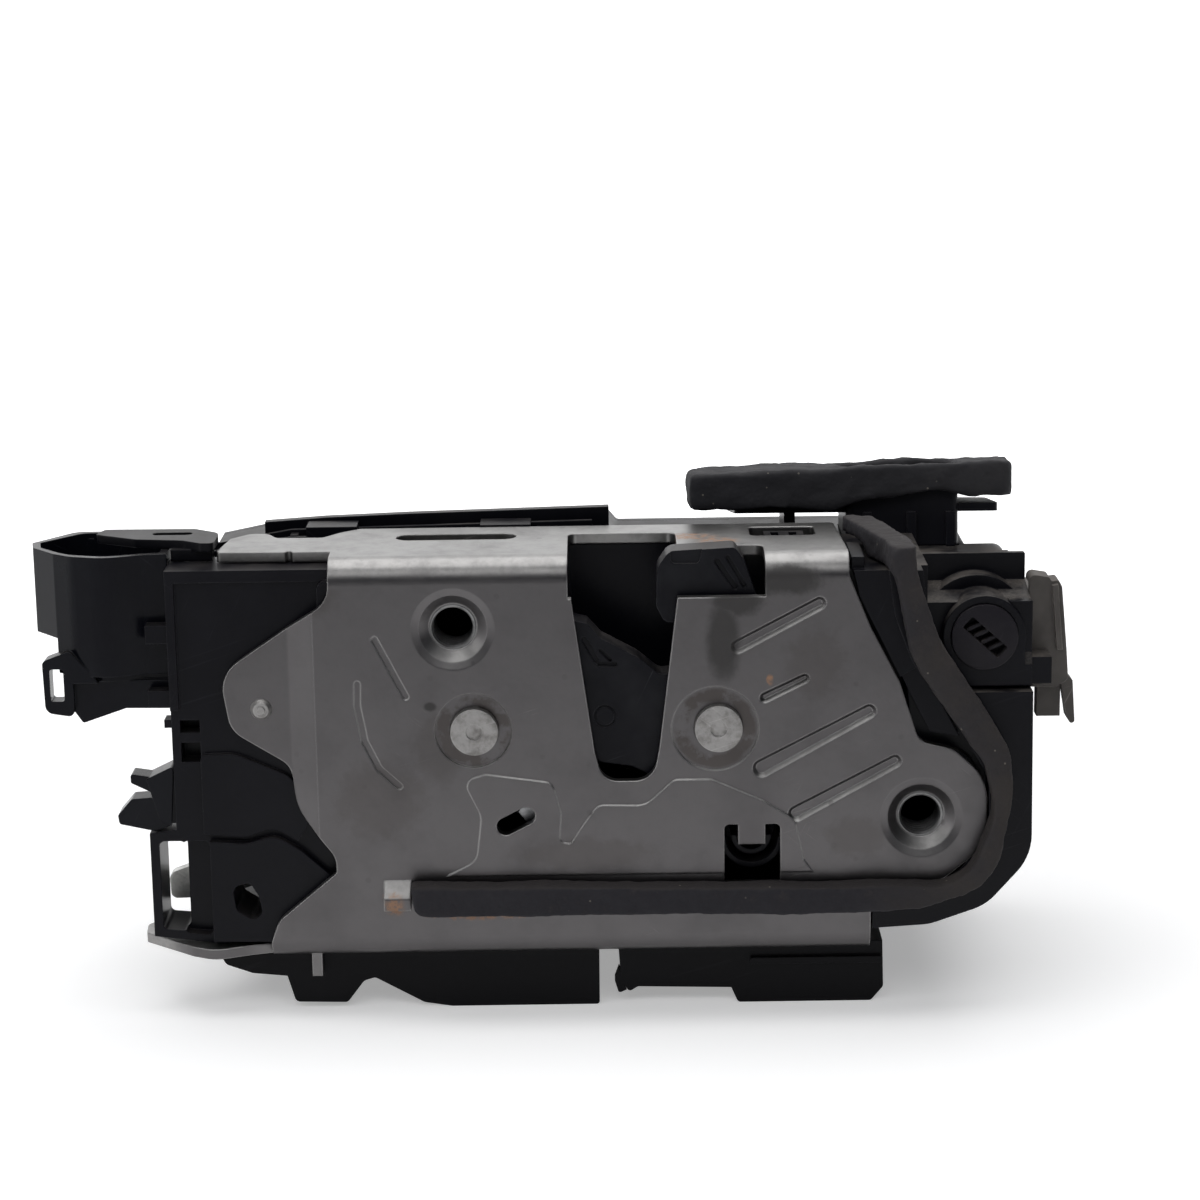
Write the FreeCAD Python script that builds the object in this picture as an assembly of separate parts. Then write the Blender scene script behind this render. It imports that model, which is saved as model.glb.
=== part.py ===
import FreeCAD, Part
import math
import os

# Car door lock, in millimetres.
# X runs along the lock, Y into it from the faceplate, Z towards the open end of the striker mouth.
# The origin is the mouth of the thread in the upper fixing hole.

# Frame plate
sheet = 1.8
face_y = -2.0
bend_r = 4.2
top_z = 12.1
bottom_z = -59.3
top_flange = 26.6
bottom_flange = 24.0
plate_left = -21.1
plate_right = 67.7
hole_gap_x = 80.4
hole_gap_z = -34.7
thread_minor_r = 3.36
rib_depth = 0.8
dimple_r = 6.4
dimple_depth = 2.0
nut_r = 7.0
nut_length = 7.0

# Catch and pawl
pin_gap = 42.0
pin_z = -18.0
pawl_pin_x = 3.3
pin_r = 5.0
pin_head_r = 4.1
catch_swing = 70.0
pawl_swing = 12.0
catch_front = 0.6
catch_back = 6.2
core_front = 1.6
core_back = 5.2
cover_skin = 1.2
lift_pin_r = 1.6

# Housing layers, counted back from the faceplate
housing_top = 10.1
housing_bottom = -57.3
floor_front = 10.0
floor_back = 12.2
back_plate_thick = 2.0
mouth_back = 18.6
lever_thick = 2.2
case_front = 24.5
wall = 1.8
case_back = 58.0
cover_thick = 2.0
corner_drop = 6.4
case_top = 5.8

# Locking drive
module = 1.2
wheel_teeth = 24
worm_r = 3.6
wheel_x = 44.0
motor_z = -38.0
drive_y = 39.0
motor_r = 12.0
motor_length = 27.0
motor_x = 59.0
pinion_module = 1.0
pinion_teeth = 10
sector_teeth = 30
backlash = 0.35
shaft_r = 1.5

# Release levers
lever_x = -30.0
lever_z = -42.0
stud_r = 3.0

# Emergency lock rotor
rotor_x = 91.0
rotor_z = -2.9
rotor_r = 5.7

# Foam parts and connector
seal_thick = 4.8
gasket_thick = 7.0
socket_left = 70.0
socket_right = 90.4
pin_front_y = 39.5
tower_tilt = 8.5

# Fits
running = 0.05
slack = 0.3
seat = 0.1

catch_x = pawl_pin_x + pin_gap
back_plate_y = floor_back + seat
lever_a_y = back_plate_y + back_plate_thick + 2.8
lever_b_y = lever_a_y + lever_thick + slack
wheel_z = motor_z + worm_r + module * wheel_teeth / 2
sector_x = wheel_x - pinion_module * (pinion_teeth + sector_teeth) / 2
inner_front = case_front + wall

V = FreeCAD.Vector
os.makedirs("parts", exist_ok=True)


# Plain shapes

def outline(points, place):
    # closed wire through the points; a third value rounds that corner
    n = len(points)
    corners = []
    for i in range(n):
        p = V(points[i][0], points[i][1], 0)
        r = points[i][2] if len(points[i]) > 2 else 0
        a = V(points[i - 1][0], points[i - 1][1], 0) - p
        b = V(points[(i + 1) % n][0], points[(i + 1) % n][1], 0) - p
        half = a.getAngle(b) / 2
        if r <= 0 or half > 1.56:
            corners.append((p, None, p))
            continue
        reach = min(r / math.tan(half), 0.49 * a.Length, 0.49 * b.Length)
        r = reach * math.tan(half)
        a.normalize()
        b.normalize()
        middle = a + b
        middle.normalize()
        corners.append((p + a * reach, p + middle * (r / math.sin(half) - r), p + b * reach))
    edges = []
    for i in range(n):
        start, mid, end = corners[i]
        last = corners[i - 1][2]
        if (start - last).Length > 1e-6:
            edges.append(Part.makeLine(place(last.x, last.y), place(start.x, start.y)))
        if mid:
            edges.append(Part.Arc(place(start.x, start.y), place(mid.x, mid.y), place(end.x, end.y)).toShape())
    return Part.Wire(edges)


def along_y(points, y0, y1):
    wire = outline(points, lambda a, b: V(a, y0, b))
    return Part.Face(wire).extrude(V(0, y1 - y0, 0))


def along_z(points, z0, z1):
    wire = outline(points, lambda a, b: V(a, b, z0))
    return Part.Face(wire).extrude(V(0, 0, z1 - z0))


def along_x(points, x0, x1):
    wire = outline(points, lambda a, b: V(x0, a, b))
    return Part.Face(wire).extrude(V(x1 - x0, 0, 0))


def block(x0, x1, y0, y1, z0, z1):
    return Part.makeBox(x1 - x0, y1 - y0, z1 - z0, V(x0, y0, z0))


def disc(x, z, r, y0, y1):
    return Part.makeCylinder(r, y1 - y0, V(x, y0, z), V(0, 1, 0))


def taper(x, z, r0, r1, y0, y1):
    return Part.makeCone(r0, r1, y1 - y0, V(x, y0, z), V(0, 1, 0))


def post(x, y, r, z0, z1):
    return Part.makeCylinder(r, z1 - z0, V(x, y, z0), V(0, 0, 1))


def join(shapes):
    body = shapes[0].fuse(shapes[1:]) if len(shapes) > 1 else shapes[0]
    return body.removeSplitter()


def rect(x0, x1, z0, z1, r=0):
    return [(x0, z0, r), (x1, z0, r), (x1, z1, r), (x0, z1, r)]


def bar(x0, z0, x1, z1, r0, r1=None):
    # four corners around two ends, rounded by their own radii
    r1 = r1 or r0
    run = V(x1 - x0, z1 - z0, 0)
    run.normalize()
    side = V(-run.y, run.x, 0)
    p, q = V(x0, z0, 0) - run * r0, V(x1, z1, 0) + run * r1
    ends = [(p + side * r0, r0), (q + side * r1, r1), (q - side * r1, r1), (p - side * r0, r0)]
    return [(e.x, e.y, r * 0.98) for e, r in ends]


def arc_band(x, z, r_in, r_out, a0, a1, y0, y1):
    ring = disc(x, z, r_out, y0, y1).cut(disc(x, z, r_in, y0, y1))
    reach = r_out * 2.5
    steps = [a0 + (a1 - a0) * i / 4 for i in range(5)]
    fan = [(x, z)] + [(x + reach * math.cos(math.radians(a)), z + reach * math.sin(math.radians(a))) for a in steps]
    return ring.common(along_y(fan, y0, y1))


def turned(shape, x, z, degrees):
    # positive turns counter-clockwise as seen from the faceplate
    shape = shape.copy()
    shape.rotate(V(x, 0, z), V(0, -1, 0), degrees)
    return shape


def save(name, shape):
    shape.exportStep("parts/%s.step" % name)


# Frame plate: sheet bent at both edges, with the mouth cut across the upper bend

mouth_profile = [(19.7, 20), (19.7, 9), (23.9, -22, 6), (25.2, -27.4, 4.6), (34, -27.4, 4.6), (35.2, -21, 6),
                 (38.6, 6.5, 1.2), (53.4, 6.5, 0.9), (53.4, 20)]


ribs = [(48.7, -3.7, 62.6, 3.7, 1.3, 1.2), (53.3, -12.8, 60.1, -9.5, 1.0, 0.9),
        (52.8, -25.4, 71.2, -15.5, 1.7, 1.3), (58.7, -33.7, 75.7, -24.5, 1.5, 1.2)]

def frame_plate():
    y0, y1 = face_y, face_y + sheet
    inner = bend_r - sheet
    profile = [(top_flange - 2, top_z), (y0, top_z, bend_r), (y0, bottom_z, bend_r), (bottom_flange - 2, bottom_z),
               (bottom_flange - 2, bottom_z + sheet), (y1, bottom_z + sheet, inner),
               (y1, top_z - sheet, inner), (top_flange - 2, top_z - sheet)]
    channel = along_x(profile, -60, 100)
    face = [(plate_left, 20), (plate_left, 5.2, 5), (-40.4, -8, 6), (-38.8, -18, 5), (-28.6, -24.4, 4),
            (-27.8, -31.8, 9), (-21.2, -40.6, 4), (-21.2, -43.4, 1), (-31.6, -52.1, 4), (-33, -56, 3), (-33, -70),
            (71.7, -70), (71.7, -48, 2), (84, -46.2, 6), (91.6, -40, 8), (91.8, -28, 9), (85.8, -22.5, 4),
            (79.8, -21, 3), (76.5, -10.6), (71.4, -0.7, 2), (plate_right, 8.4, 3), (plate_right, 20)]
    bend_back = y0 + bend_r
    upper = [(plate_left, bend_back), (plate_left, 6.4, 0.6), (-27.6, 6.4), (-28.3, 7.6, 0.5), (-29, 6.4),
             (-41, 6.8, 1), (-39.6, 17.6, 1), (-36.5, 21.6, 2), (-33.4, 21.4, 2), (-31.6, 17.8, 1), (-23.4, 17.6, 1),
             (-20.6, 21.6, 2), (-17.4, top_flange - 2, 1), (66.9, top_flange - 2, 1), (plate_right, bend_back)]
    lower = [(-33, bend_back), (-33, bottom_flange - 2), (70, bottom_flange - 2, 1), (71.7, bend_back)]
    wing = [(-32, 2.4), (-36.5, 1.2, 2), (-43, -1.4, 4), (-47, 0.6, 3), (-56.4, 8.5, 1), (-56.8, 13.5, 2),
            (-34, bottom_flange - 2, 3), (-32, bottom_flange - 2)]
    mask = join([along_y(face, y0 - 1, bend_back), along_z(upper, 5, top_z + 1), along_z(lower, bottom_z - 1, -50)])
    body = channel.common(mask).fuse(along_z(wing, bottom_z, bottom_z + sheet))

    # the left tab is set back and meets the face over a ramp
    drop = 2.0
    shelf = [(-45, y0 + drop), (-28.5, y0 + drop, 1), (-24, y0, 2), (-20, y0), (-20, y1), (-24, y1, 2),
             (-28.5, y1 + drop, 1), (-45, y1 + drop)]
    keep = along_y(face, y0 - 1, bend_back).common(block(-45, -24, y0 - 1, 3, -44, plate_left + 29.6))
    body = body.cut(block(-45, -24, y0 - 1, y1 + 0.01, -44, plate_left + 29.6))
    body = body.fuse(along_z(shelf, -44, plate_left + 29.6).common(keep))

    body = body.fuse(raised_ground())
    for rib in ribs:
        groove, bulge = pressed(*rib)
        body = body.fuse(bulge).cut(groove)

    cuts = [along_y(mouth_profile, y0 - 2, bend_back),
            along_z([(19.7, -5), (19.7, 18, 1.6), (38.6, 18, 1.6), (38.6, 7), (53.4, 7, 1.4), (53.4, -5)], 5, 20),
            along_z(bar(-8, 16.8, 8.2, 16.8, 2.5), 5, 20),
            along_z(rect(51.6, 63.1, 14.4, 21.6, 1), 5, 20),
            along_y(bar(8.4, -35.2, 11.9, -33.4, 1.6), y0 - 2, 4),
            along_y([(46.2, -46.2), (46.2, -35.4, 0.9), (48.6, -35.4, 0.2), (48.6, -39), (53.3, -39),
                     (53.3, -35.4, 0.2), (55.9, -35.4, 0.9), (55.9, -46.2)], y0 - 2, 4)]
    body = body.cut(join(cuts))

    # sunk rings round both pins, then the fixing dimples
    body = body.cut([disc(pawl_pin_x - 0.2, pin_z, 6.6, y0 - 1, y0 + 0.5),
                     disc(catch_x - 0.6, pin_z - 0.2, 7.5, y0 - 1, y0 + 0.3)])
    for x, z in [(0, 0), (hole_gap_x, hole_gap_z)]:
        body = body.fuse(taper(x, z, dimple_r + 1.4, 5.6, y1 - 0.3, y0 + dimple_depth + sheet - 0.3))
        lip = taper(x, z, dimple_r + 0.8, dimple_r - 0.5, y0 - 0.01, y0 + 0.5)
        cone = taper(x, z, dimple_r - 0.5, 4.2, y0 + 0.49, y0 + dimple_depth)
        body = body.cut([lip, cone, disc(x, z, 4.0, y0, y1 + 4)])
    for a in [(-16.6, -9.4, -16.7, -13.2), (-16.7, -13.2, -15.6, -19.6), (-15.6, -19.6, -13.2, -24.6),
              (-13.2, -24.6, -9.8, -27.8), (-13.4, -1.6, -8.3, -11.8)]:
        body = body.cut(along_y(bar(*a, 0.55), y0 - 1, y0 + 0.3))
    holes = [disc(x, pin_z, pin_head_r, y0 - 1, y1 + 1) for x in (pawl_pin_x, catch_x)]
    body = body.cut(holes + [disc(-33.4, -14.2, 1.5, y0 - 1, 5)])

    # one tab stands out of the face to stop the seal, another hangs from the lower flange
    lance = along_x([(y0 + 0.2, -44.6), (y0 - 2.6, -47.4, 0.6), (y0 - 2.6, -49.6), (y0 + 0.2, -49.6)], -13, -8.3)
    tab = block(-26.5, -24.7, 2.4, 4, bottom_z - 4.6, bottom_z + 0.5)
    return join([body, lance, tab])


def pressed(x0, z0, x1, z1, r0, r1):
    # a groove with sloped sides, and the bulge it leaves on the back of the sheet
    def ring(more, y):
        return outline(bar(x0, z0, x1, z1, r0 + more, r1 + more), lambda a, b: V(a, y, b))

    back = face_y + sheet
    groove = Part.makeLoft([ring(0, face_y - 0.01), ring(-0.7, face_y + rib_depth)], True, True)
    bulge = Part.makeLoft([ring(0.7, back - 0.2), ring(-0.1, back + rib_depth - 0.3)], True, True)
    return groove, bulge


def raised_ground():
    edge = [(-2.1, -44.2), (3.2, -41.5, 3), (4.2, -33.4, 4), (1.2, -27, 2), (5, -25.8, 2), (16.6, -27.5, 2),
            (18, -33), (17.6, -38.2, 1), (19.6, -38.6, 0.8), (21.9, -35, 2), (24.4, -31.6, 2), (32.6, -31.8, 4),
            (37.6, -27.2, 2), (44, -27.2, 3), (53, -31.2, 2), (58.4, -34.6, 3), (60, -42), (61.6, -44.2)]
    return along_y(edge, face_y - 0.3, face_y + 0.1)


# Pins, rivet and threaded nuts

def pin(x):
    lean = face_y + sheet + 0.1
    end = back_plate_y + back_plate_thick
    head = disc(x, pin_z, pin_head_r, face_y - 1.1, lean).cut(disc(x, pin_z, 1.4, face_y - 2, face_y - 0.8))
    shank = disc(x, pin_z, pin_r, lean, floor_back)
    tail = disc(x, pin_z, pin_head_r, floor_back, end)
    flare = taper(x, pin_z, pin_head_r + 0.8, pin_head_r - 0.4, end, end + 1)
    return join([head, shank, tail, flare])


def small_rivet():
    x, z = -33.4, -14.2
    top = face_y + 2.0
    return join([taper(x, z, 1.3, 1.9, top - 0.8, top), disc(x, z, 1.5, top, top + sheet + 3),
                 disc(x, z, 0.7, top - 1.1, top - 0.7)])


def fixing_nuts():
    nuts = []
    for x, z in [(0, 0), (hole_gap_x, hole_gap_z)]:
        start = face_y + dimple_depth
        body = disc(x, z, 4.0, start, start + 1.9).fuse(disc(x, z, nut_r, start + 1.6, start + nut_length))
        nuts.append(body.cut(disc(x, z, thread_minor_r, start - 1, start + nut_length + 1)).removeSplitter())
    return Part.makeCompound(nuts)


# Catch and pawl: steel cores in moulded plastic

catch_shape = [(19.3, 1, 0.4), (22.9, 0.1, 0.5), (25.3, -2.6, 0.8), (31.5, -6, 2), (35.3, -9.2, 2.4), (43, -8.2, 3.6),
               (42.6, -0.4, 3.4), (36.2, 0.2, 1.4), (34.8, 3, 1.5), (35, 9.6, 3), (37, 12.5, 2),
               (48.3, 13.1, 1), (49.8, 11, 1), (52.2, 4, 3), (54.4, -7, 6), (56.4, -20, 7), (51, -29.6, 7), (38, -29.4, 5),
               (30.4, -25.4, 3), (24.4, -24.6, 3), (19, -18, 5), (18.4, -5, 4)]
pawl_shape = [(18.45, -36, 0.4), (20.7, -32.6, 0.5), (13.2, -21.6, 3), (10.4, -13.4, 5), (4, -9.6, 6),
              (-4.4, -11.5, 5), (-8.8, -15.2, 2.4), (-8.8, -20.6, 2.4), (-4.2, -23.4, 4), (3, -26, 5), (12.4, -31, 3)]


def overmould(shape, bare):
    # the core reaches the full outline only inside the bare polygon
    full = along_y(shape, core_front, core_back)
    tooth = full.common(along_y(bare, core_front, core_back))
    wire = outline(shape, lambda a, b: V(a, core_front, b))
    inner = Part.Face(wire).makeOffset2D(-cover_skin)
    core = Part.Face(inner.Wires[0]).extrude(V(0, core_back - core_front, 0)).fuse(tooth).removeSplitter()
    skin = along_y(shape, catch_front, catch_back).cut(along_y(bare, catch_front - 1, catch_back + 1))
    return core, skin


def catch_parts():
    bare = [(15, 5), (20.5, 5), (20.5, -3.8), (15, -3.8)]
    core, cover = overmould(catch_shape, bare)
    core = core.cut(disc(catch_x, pin_z, pin_r + running, 0, 9))
    cover = cover.cut([disc(catch_x, pin_z, pin_r + slack, 0, 9)] + catch_marks())
    magnet = disc(catch_x + 2, pin_z - 9.4, 2, catch_back - 0.9, catch_back)
    cover = cover.cut(magnet)
    return core, cover.cut(core).removeSplitter(), magnet


def catch_marks():
    # moulded slots, the shallow V and the ejector ring that show through the mouth
    front = catch_front - 1
    marks = [along_y(bar(*m), front, catch_front + 0.7) for m in
             [(22.4, -2.7, 24.4, -6.4, 0.5), (25, -7.1, 27.6, -7.2, 0.45), (25.2, -4.7, 26.8, -6.4, 0.3),
              (45.3, 10.7, 48.3, 6.2, 0.5), (47.1, 11.4, 49.9, 6.4, 0.35)]]
    marks.append(disc(25.8, -16.4, 2, front, catch_front + 0.3).cut(disc(25.8, -16.4, 1.6, front, 3)))
    marks.append(along_y([(37.2, 14), (37.4, 10.4, 0.8), (42.2, 10.4, 0.8), (43, 14)], front, catch_front + 0.4))
    return marks


def pawl_parts():
    bare = [(14.6, -28), (24, -26), (24, -40), (12, -38)]
    core, cover = overmould(pawl_shape, bare)
    lift_x = pawl_pin_x - 9.5
    core = core.fuse(disc(lift_x, pin_z, lift_pin_r, core_back - 1, lever_b_y + lever_thick)).removeSplitter()
    core = core.cut(disc(pawl_pin_x, pin_z, pin_r + running, 0, 9))
    cover = cover.cut(disc(pawl_pin_x, pin_z, pin_r + slack, 0, 9)).cut(core).removeSplitter()
    return [turned(s, pawl_pin_x, pin_z, -pawl_swing) for s in (core, cover)]


def torsion_spring(x, z, y0, coil_r, wire, legs):
    # two close turns of square wire; each end leaves along the way its point lies
    parts = []
    for i, (ex, ez) in enumerate(legs):
        y = y0 + wire * i
        parts.append(disc(x, z, coil_r + wire / 2, y, y + wire).cut(disc(x, z, coil_r - wire / 2, y, y + wire)))
        run = V(ex - x, ez - z, 0)
        far = V(run)
        run.normalize()
        side = V(-run.y, run.x, 0) * (1 if i else -1)
        start, near, out = V(x, z, 0), side * (coil_r - wire * 0.55), side * (coil_r + wire * 0.45)
        corners = [start + near, start + near + far, start + out + far, start + out]
        parts.append(along_y([(c.x, c.y) for c in corners], y, y + wire))
    return join(parts)


# Front housing: moulded body that carries the mechanism behind the plate

def latch_housing(plate):
    shell = [(-49.3, housing_top), (98.4, housing_top), (99.3, 9), (99.6, -42, 10), (91.8, -50.8, 9), (82, -54.2, 8),
             (72, -55), (72, housing_bottom, 1), (-43, housing_bottom), (-54, housing_bottom + 1.4),
             (-54, -37), (-49.3, -36.4)]
    body = along_y(shell, 2, floor_back)
    front = [(-23.2, 8.4, 2), (66.4, 8.4, 2), (70.4, -1, 1), (75, -10.4), (79, -21.6, 2), (90.4, -24, 6),
             (90.4, -41, 6), (72, -46), (72, -54.8), (60, -56.2), (-30, -56.2), (-20, -44), (-20, -38), (-23.2, -31)]
    body = body.fuse(along_y(front, 0.2, 2.1))
    behind_barrel = along_x([(0, 2.2), (4, 3), (11, 4.4), (11, 12), (0, 12)], 81.4, 101)
    body = body.cut([block(68, 110, 1.9, 20, 9.2, 11), behind_barrel])
    body = join([body, right_front(), left_front(), mouth_tunnel()])

    pocket = [disc(catch_x, pin_z, 33.2, 0, floor_front), along_y(
        [(-11, -8, 3), (14, -8), (22, -46), (11, -42, 4), (-11, -27, 4)], 0, floor_front)]
    body = body.cut(join(pocket).common(block(-12, 80, 0, floor_front, housing_bottom + 4, 20)))
    body = body.cut(mouth_space(-1, mouth_back))
    body = body.cut(block(33, 54, -1, floor_front, 0, 20))
    # through holes: pins, nuts, lift pin, the far rivet, window and the round look-hole
    cuts = [disc(x, pin_z, pin_r + running, 0, 14) for x in (pawl_pin_x, catch_x)]
    cuts += [disc(x, z, nut_r + 0.3, 0, 14) for x, z in [(0, 0), (hole_gap_x, hole_gap_z)]]
    cuts += [disc(x, z, 8.2, 0, 2.1) for x, z in [(0, 0), (hole_gap_x, hole_gap_z)]]
    cuts += [disc(pawl_pin_x - 9.4, pin_z + 1, lift_pin_r + 2, 0, 14), disc(-33.4, -14.2, 1.55, 0, 6.8)]
    cuts += [along_y([(-52.4, -38.4, 1), (-47.8, -38.4, 1), (-47.8, -55, 1), (-52.4, -54.6, 1)], 0, 14)]
    cuts += [along_y([(-48.4, -38.4, 1), (-43.6, -38.4, 1), (-43.6, -55.9, 1), (-48.4, -55.4, 1)], 0, 4.5)]
    cuts += [block(-47.8, -44.4, 0, 6, z, z + high) for z, high in [(-18.8, 2.3), (-24.1, 3.6)]]
    cuts += [along_y([(-39.8, -46.4, 1.5), (-36.6, -45.8, 1), (-35.2, -48.2, 1), (-34.6, -51.4, 1),
                      (-36.4, -52.6, 1), (-39.2, -50.8, 1.5)], 0, 14)]
    cuts += [disc(rotor_x, rotor_z, rotor_r + running, -3, 14)]
    body = body.cut(join(cuts))
    body = body.cut([disc(lever_x, lever_z, stud_r + 1.2, floor_back - 1.6, 14), plate])
    # posts that the fixed spring legs lean on
    posts = [disc(catch_x - 2.7, pin_z - 18, 1.2, catch_back + 0.3, floor_front + 0.1),
             disc(pawl_pin_x + 6.8, pin_z + 6.4, 1.2, catch_back + 0.3, floor_front + 0.1)]
    steps = [arc_band(51.1, -38.9, r, r + 0.9, 180, 360, y, floor_front + 0.1) for r, y in [(2.6, 2.6), (4.6, 1.4)]]
    return join([body] + posts + steps)


def right_front():
    # seal land, stepped strip beside the plate, rotor barrel and the ledge beside it
    land = [(74.4, 9.2), (75.6, 1, 6), (78.6, -7, 8), (86.6, -18.6, 6), (91.9, -27.5, 6), (92.2, -38, 10),
            (85.5, -46.4, 6), (79.5, -47.6), (72, -47.6), (72, -54.8), (82, -54.2, 8), (91.8, -50.8, 9),
            (99.6, -42, 10), (99.3, -12.4), (88.6, -12.4, 1), (81.4, -2, 3), (80.2, 9.2)]
    rim = along_y(land, face_y, 2.1)
    side = [(68.4, 9.2), (70.2, 3.4), (73.4, -2.2), (78.4, -13), (81.8, -19.6), (87, -20.6), (75.9, 0), (74.6, 9.2)]
    side = along_y(side, -0.6, 2.1)
    upper = along_y([(68.4, 9.2), (69.6, 4.4), (76.5, -9.6), (79.2, -8), (75.6, 1), (74.6, 9.2)], face_y + 0.6, 0)
    # the barrel stands on a block, with a wider shoulder behind it and a shelf at its right
    x, z = rotor_x, rotor_z
    barrel = [disc(x, z, rotor_r + 1.4, -0.4, 11.5), disc(x - 0.6, z, rotor_r + 3.4, 7, 11.5),
              block(x, x + rotor_r + 1.3, -0.4, 3, z - 8.8, z + 1)]
    brow = along_x([(-0.4, -11.7), (-0.4, -8), (2.1, -3), (4, 3), (11.2, 4.4), (11.2, -11.7)], 84, 99.3)
    cheek = block(95.3, 99.3, 0.6, 8, -6.2, 3)
    shelf = block(97, 102.8, 0.8, 6.2, -11.7, -7)
    rib = block(68.2, 70.4, 0.4, floor_back, 9, 11.2)
    return join([rim, side, upper, brow, cheek, shelf, rib] + barrel)


def left_front():
    # panel, stepped lower body with curved edges, clips and pockets left of the plate
    panel = along_y([(-49.3, housing_top), (-21, housing_top), (-21, 8), (-47.8, 8), (-47.8, -14.6), (-49.3, -14.6)],
                    1.2, 2.2)
    hump = along_y([(-44.4, -22.6, 1), (-38.4, -22.4, 6), (-29, -26.6, 4), (-25, -33), (-28, -38.4), (-32.2, -35.8, 4),
                    (-37, -37.6, 4), (-44.4, -36.9)], 1, 2.2)
    foot = along_y([(-43.4, -38.2), (-37, -38.6, 4), (-32, -37.2, 4), (-27.4, -40), (-22, -45), (-30, -53),
                    (-31, -56.6), (-43.4, -56.6)], 0.4, 2.2)
    clips = [block(-53.2, -49, 2.6, 5.6, -3, 0.2), block(-53.2, -49, 2.6, 5.6, -14.2, -11.4),
             block(-50.6, -49, 2.6, 5.8, -18, -16.6)]
    return join([panel, hump, foot] + clips)


def mouth_space(y0, y1):
    return along_y([(19.7, 30), (19.7, 4), (23.4, -31, 3), (35.8, -31, 3), (39.4, 4), (39.4, 30)], y0, y1)


def mouth_tunnel():
    return along_y([(18, housing_top), (18, 3), (21.6, -32.8, 3), (37.6, -32.8, 3), (41.2, 3), (41.2, housing_top)],
                   floor_back - 0.5, mouth_back + 1.4)


def striker_bumper():
    pad = mouth_space(floor_front + seat, mouth_back - seat).common(block(10, 50, 0, 30, -40, -21.5))
    return pad.cut([disc(29.6, -20.6, 5.2, 0, 30), disc(29.6, -27.6, 1.1, 0, 30)]).removeSplitter()


def back_plate():
    y0, y1 = back_plate_y, back_plate_y + back_plate_thick
    edge = [(-12, -2, 4), (-4, 4, 5), (14, 4, 4), (16, -2), (18.6, -33.2, 3), (40.6, -33.2, 3), (43, 0, 3),
            (58, 0, 5), (60, -24, 8), (50, -38, 6), (30, -42, 6), (-6, -46, 6), (-24, -50.5, 5), (-36.5, -48, 5),
            (-37, -38, 5), (-22, -30, 6), (-13, -20, 5)]
    plate = along_y(edge, y0, y1)
    rib = along_y(bar(6, -40, 40, -37.6, 1.3), y1, y1 + 0.6)
    cuts = [disc(x, pin_z, pin_head_r, 0, 20) for x in (pawl_pin_x, catch_x)]
    cuts += [disc(0, 0, nut_r + 0.3, 0, 20), disc(pawl_pin_x - 9.4, pin_z + 1, lift_pin_r + 2, 0, 20)]
    cuts += [disc(lever_x, lever_z, stud_r, 0, 20)]
    return join([plate, rib]).cut(cuts).removeSplitter()


# Foam seals

def edge_seal():
    back = face_y
    front = back - seal_thick
    strip = [(-8.4, -44.6), (-7.6, -49.9, 0.6), (-6, -50.4), (66, -50.7, 20), (80, -50.2, 12), (92.6, -46.4, 12),
             (95.9, -30, 16), (95.4, -22, 10), (83, -2.6, 20), (79, 9.4), (74.8, 9.4), (78, -6, 20),
             (90.6, -24, 9), (92.4, -33, 10), (88, -45.6, 9), (76, -45.6, 6), (66, -45.6), (-6, -44.6)]
    front_run = along_y(strip, front, back)
    corner = along_y([(74.6, 9.4), (79, 9.4), (78.6, 14.4, 3), (74.2, 14.4, 3)], front, back + 0.6)
    top_run = along_z([(74.5, front + 0.4, 1), (78.8, front + 0.4, 1), (78.4, 1), (73.6, 20.4, 1), (67.6, 21.6, 1),
                       (73.4, 1)], housing_top - 0.9 + seat, 14.4)
    return join([front_run, corner, top_run.cut(block(60, 71.4, -10, floor_back + 12, 0, 11.3))])


def tilted(shape):
    # the connector leans down towards the back
    shape = shape.copy()
    shape.rotate(V(0, 30, 14), V(1, 0, 0), -tower_tilt)
    return shape


def connector_gasket():
    pad = along_z([(41.6, 29.6, 1), (70, 30.4), (100, 32.6, 2), (101.2, 52, 3), (94, 56.4, 3), (46, 55.6, 3), (41.4, 50, 2)],
                  14, 14 + gasket_thick)
    return tilted(pad.cut(block(socket_left - 0.2, socket_right + 0.2, 33.8, 53.2, 13, 30)))


def connector_shroud():
    x0, x1 = socket_left, socket_right
    flange = along_z([(50, 37, 1), (86, 35.4), (97.6, 34.6, 1), (97.6, 53, 2), (90, 55.4, 2), (52, 54.4, 2), (49, 48, 2)],
                     12.4, 13.9)
    tube = along_z([(x0, 34, 1.5), (x1, 34, 1.5), (x1, 53, 1.5), (x0, 53, 1.5)], 1.5, 19.6)
    socket = along_z([(x0 + 1.6, 35.6, 0.8), (x1 - 1.6, 35.6, 0.8), (x1 - 1.6, 51.4, 0.8), (x0 + 1.6, 51.4, 0.8)],
                     4.5, 30)
    ribs = [block(x, x + 1.6, 33, 34.2, 6, 12.5) for x in (x0 + 3, x0 + 11, x0 + 18)]
    foot = block(59, 61, 38, 52, 5, 12.5)
    keys = [block(x0 + 1, x0 + 3, 42.5, 44.5, 4.4, 16), block(x0 + 9, x0 + 11, 50.2, 52, 4.4, 16)]
    body = join([flange, tube, foot] + ribs).cut(socket)
    holes = [block(x - 0.35, x + 0.35, y - 0.35, y + 0.35, 0, 6) for x, y in pin_places()]
    body = tilted(join([body] + keys).cut(holes))
    return body.cut([block(40, x0 - 0.2, 20, 60, 0, case_top + 0.1), block(69, 96, 25, 33.2, 0, case_top + 0.1)])


def pin_places():
    return [(socket_left + 3.4 + 2.7 * i, pin_front_y + y) for i in range(6) for y in (0, 7)]


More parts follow.
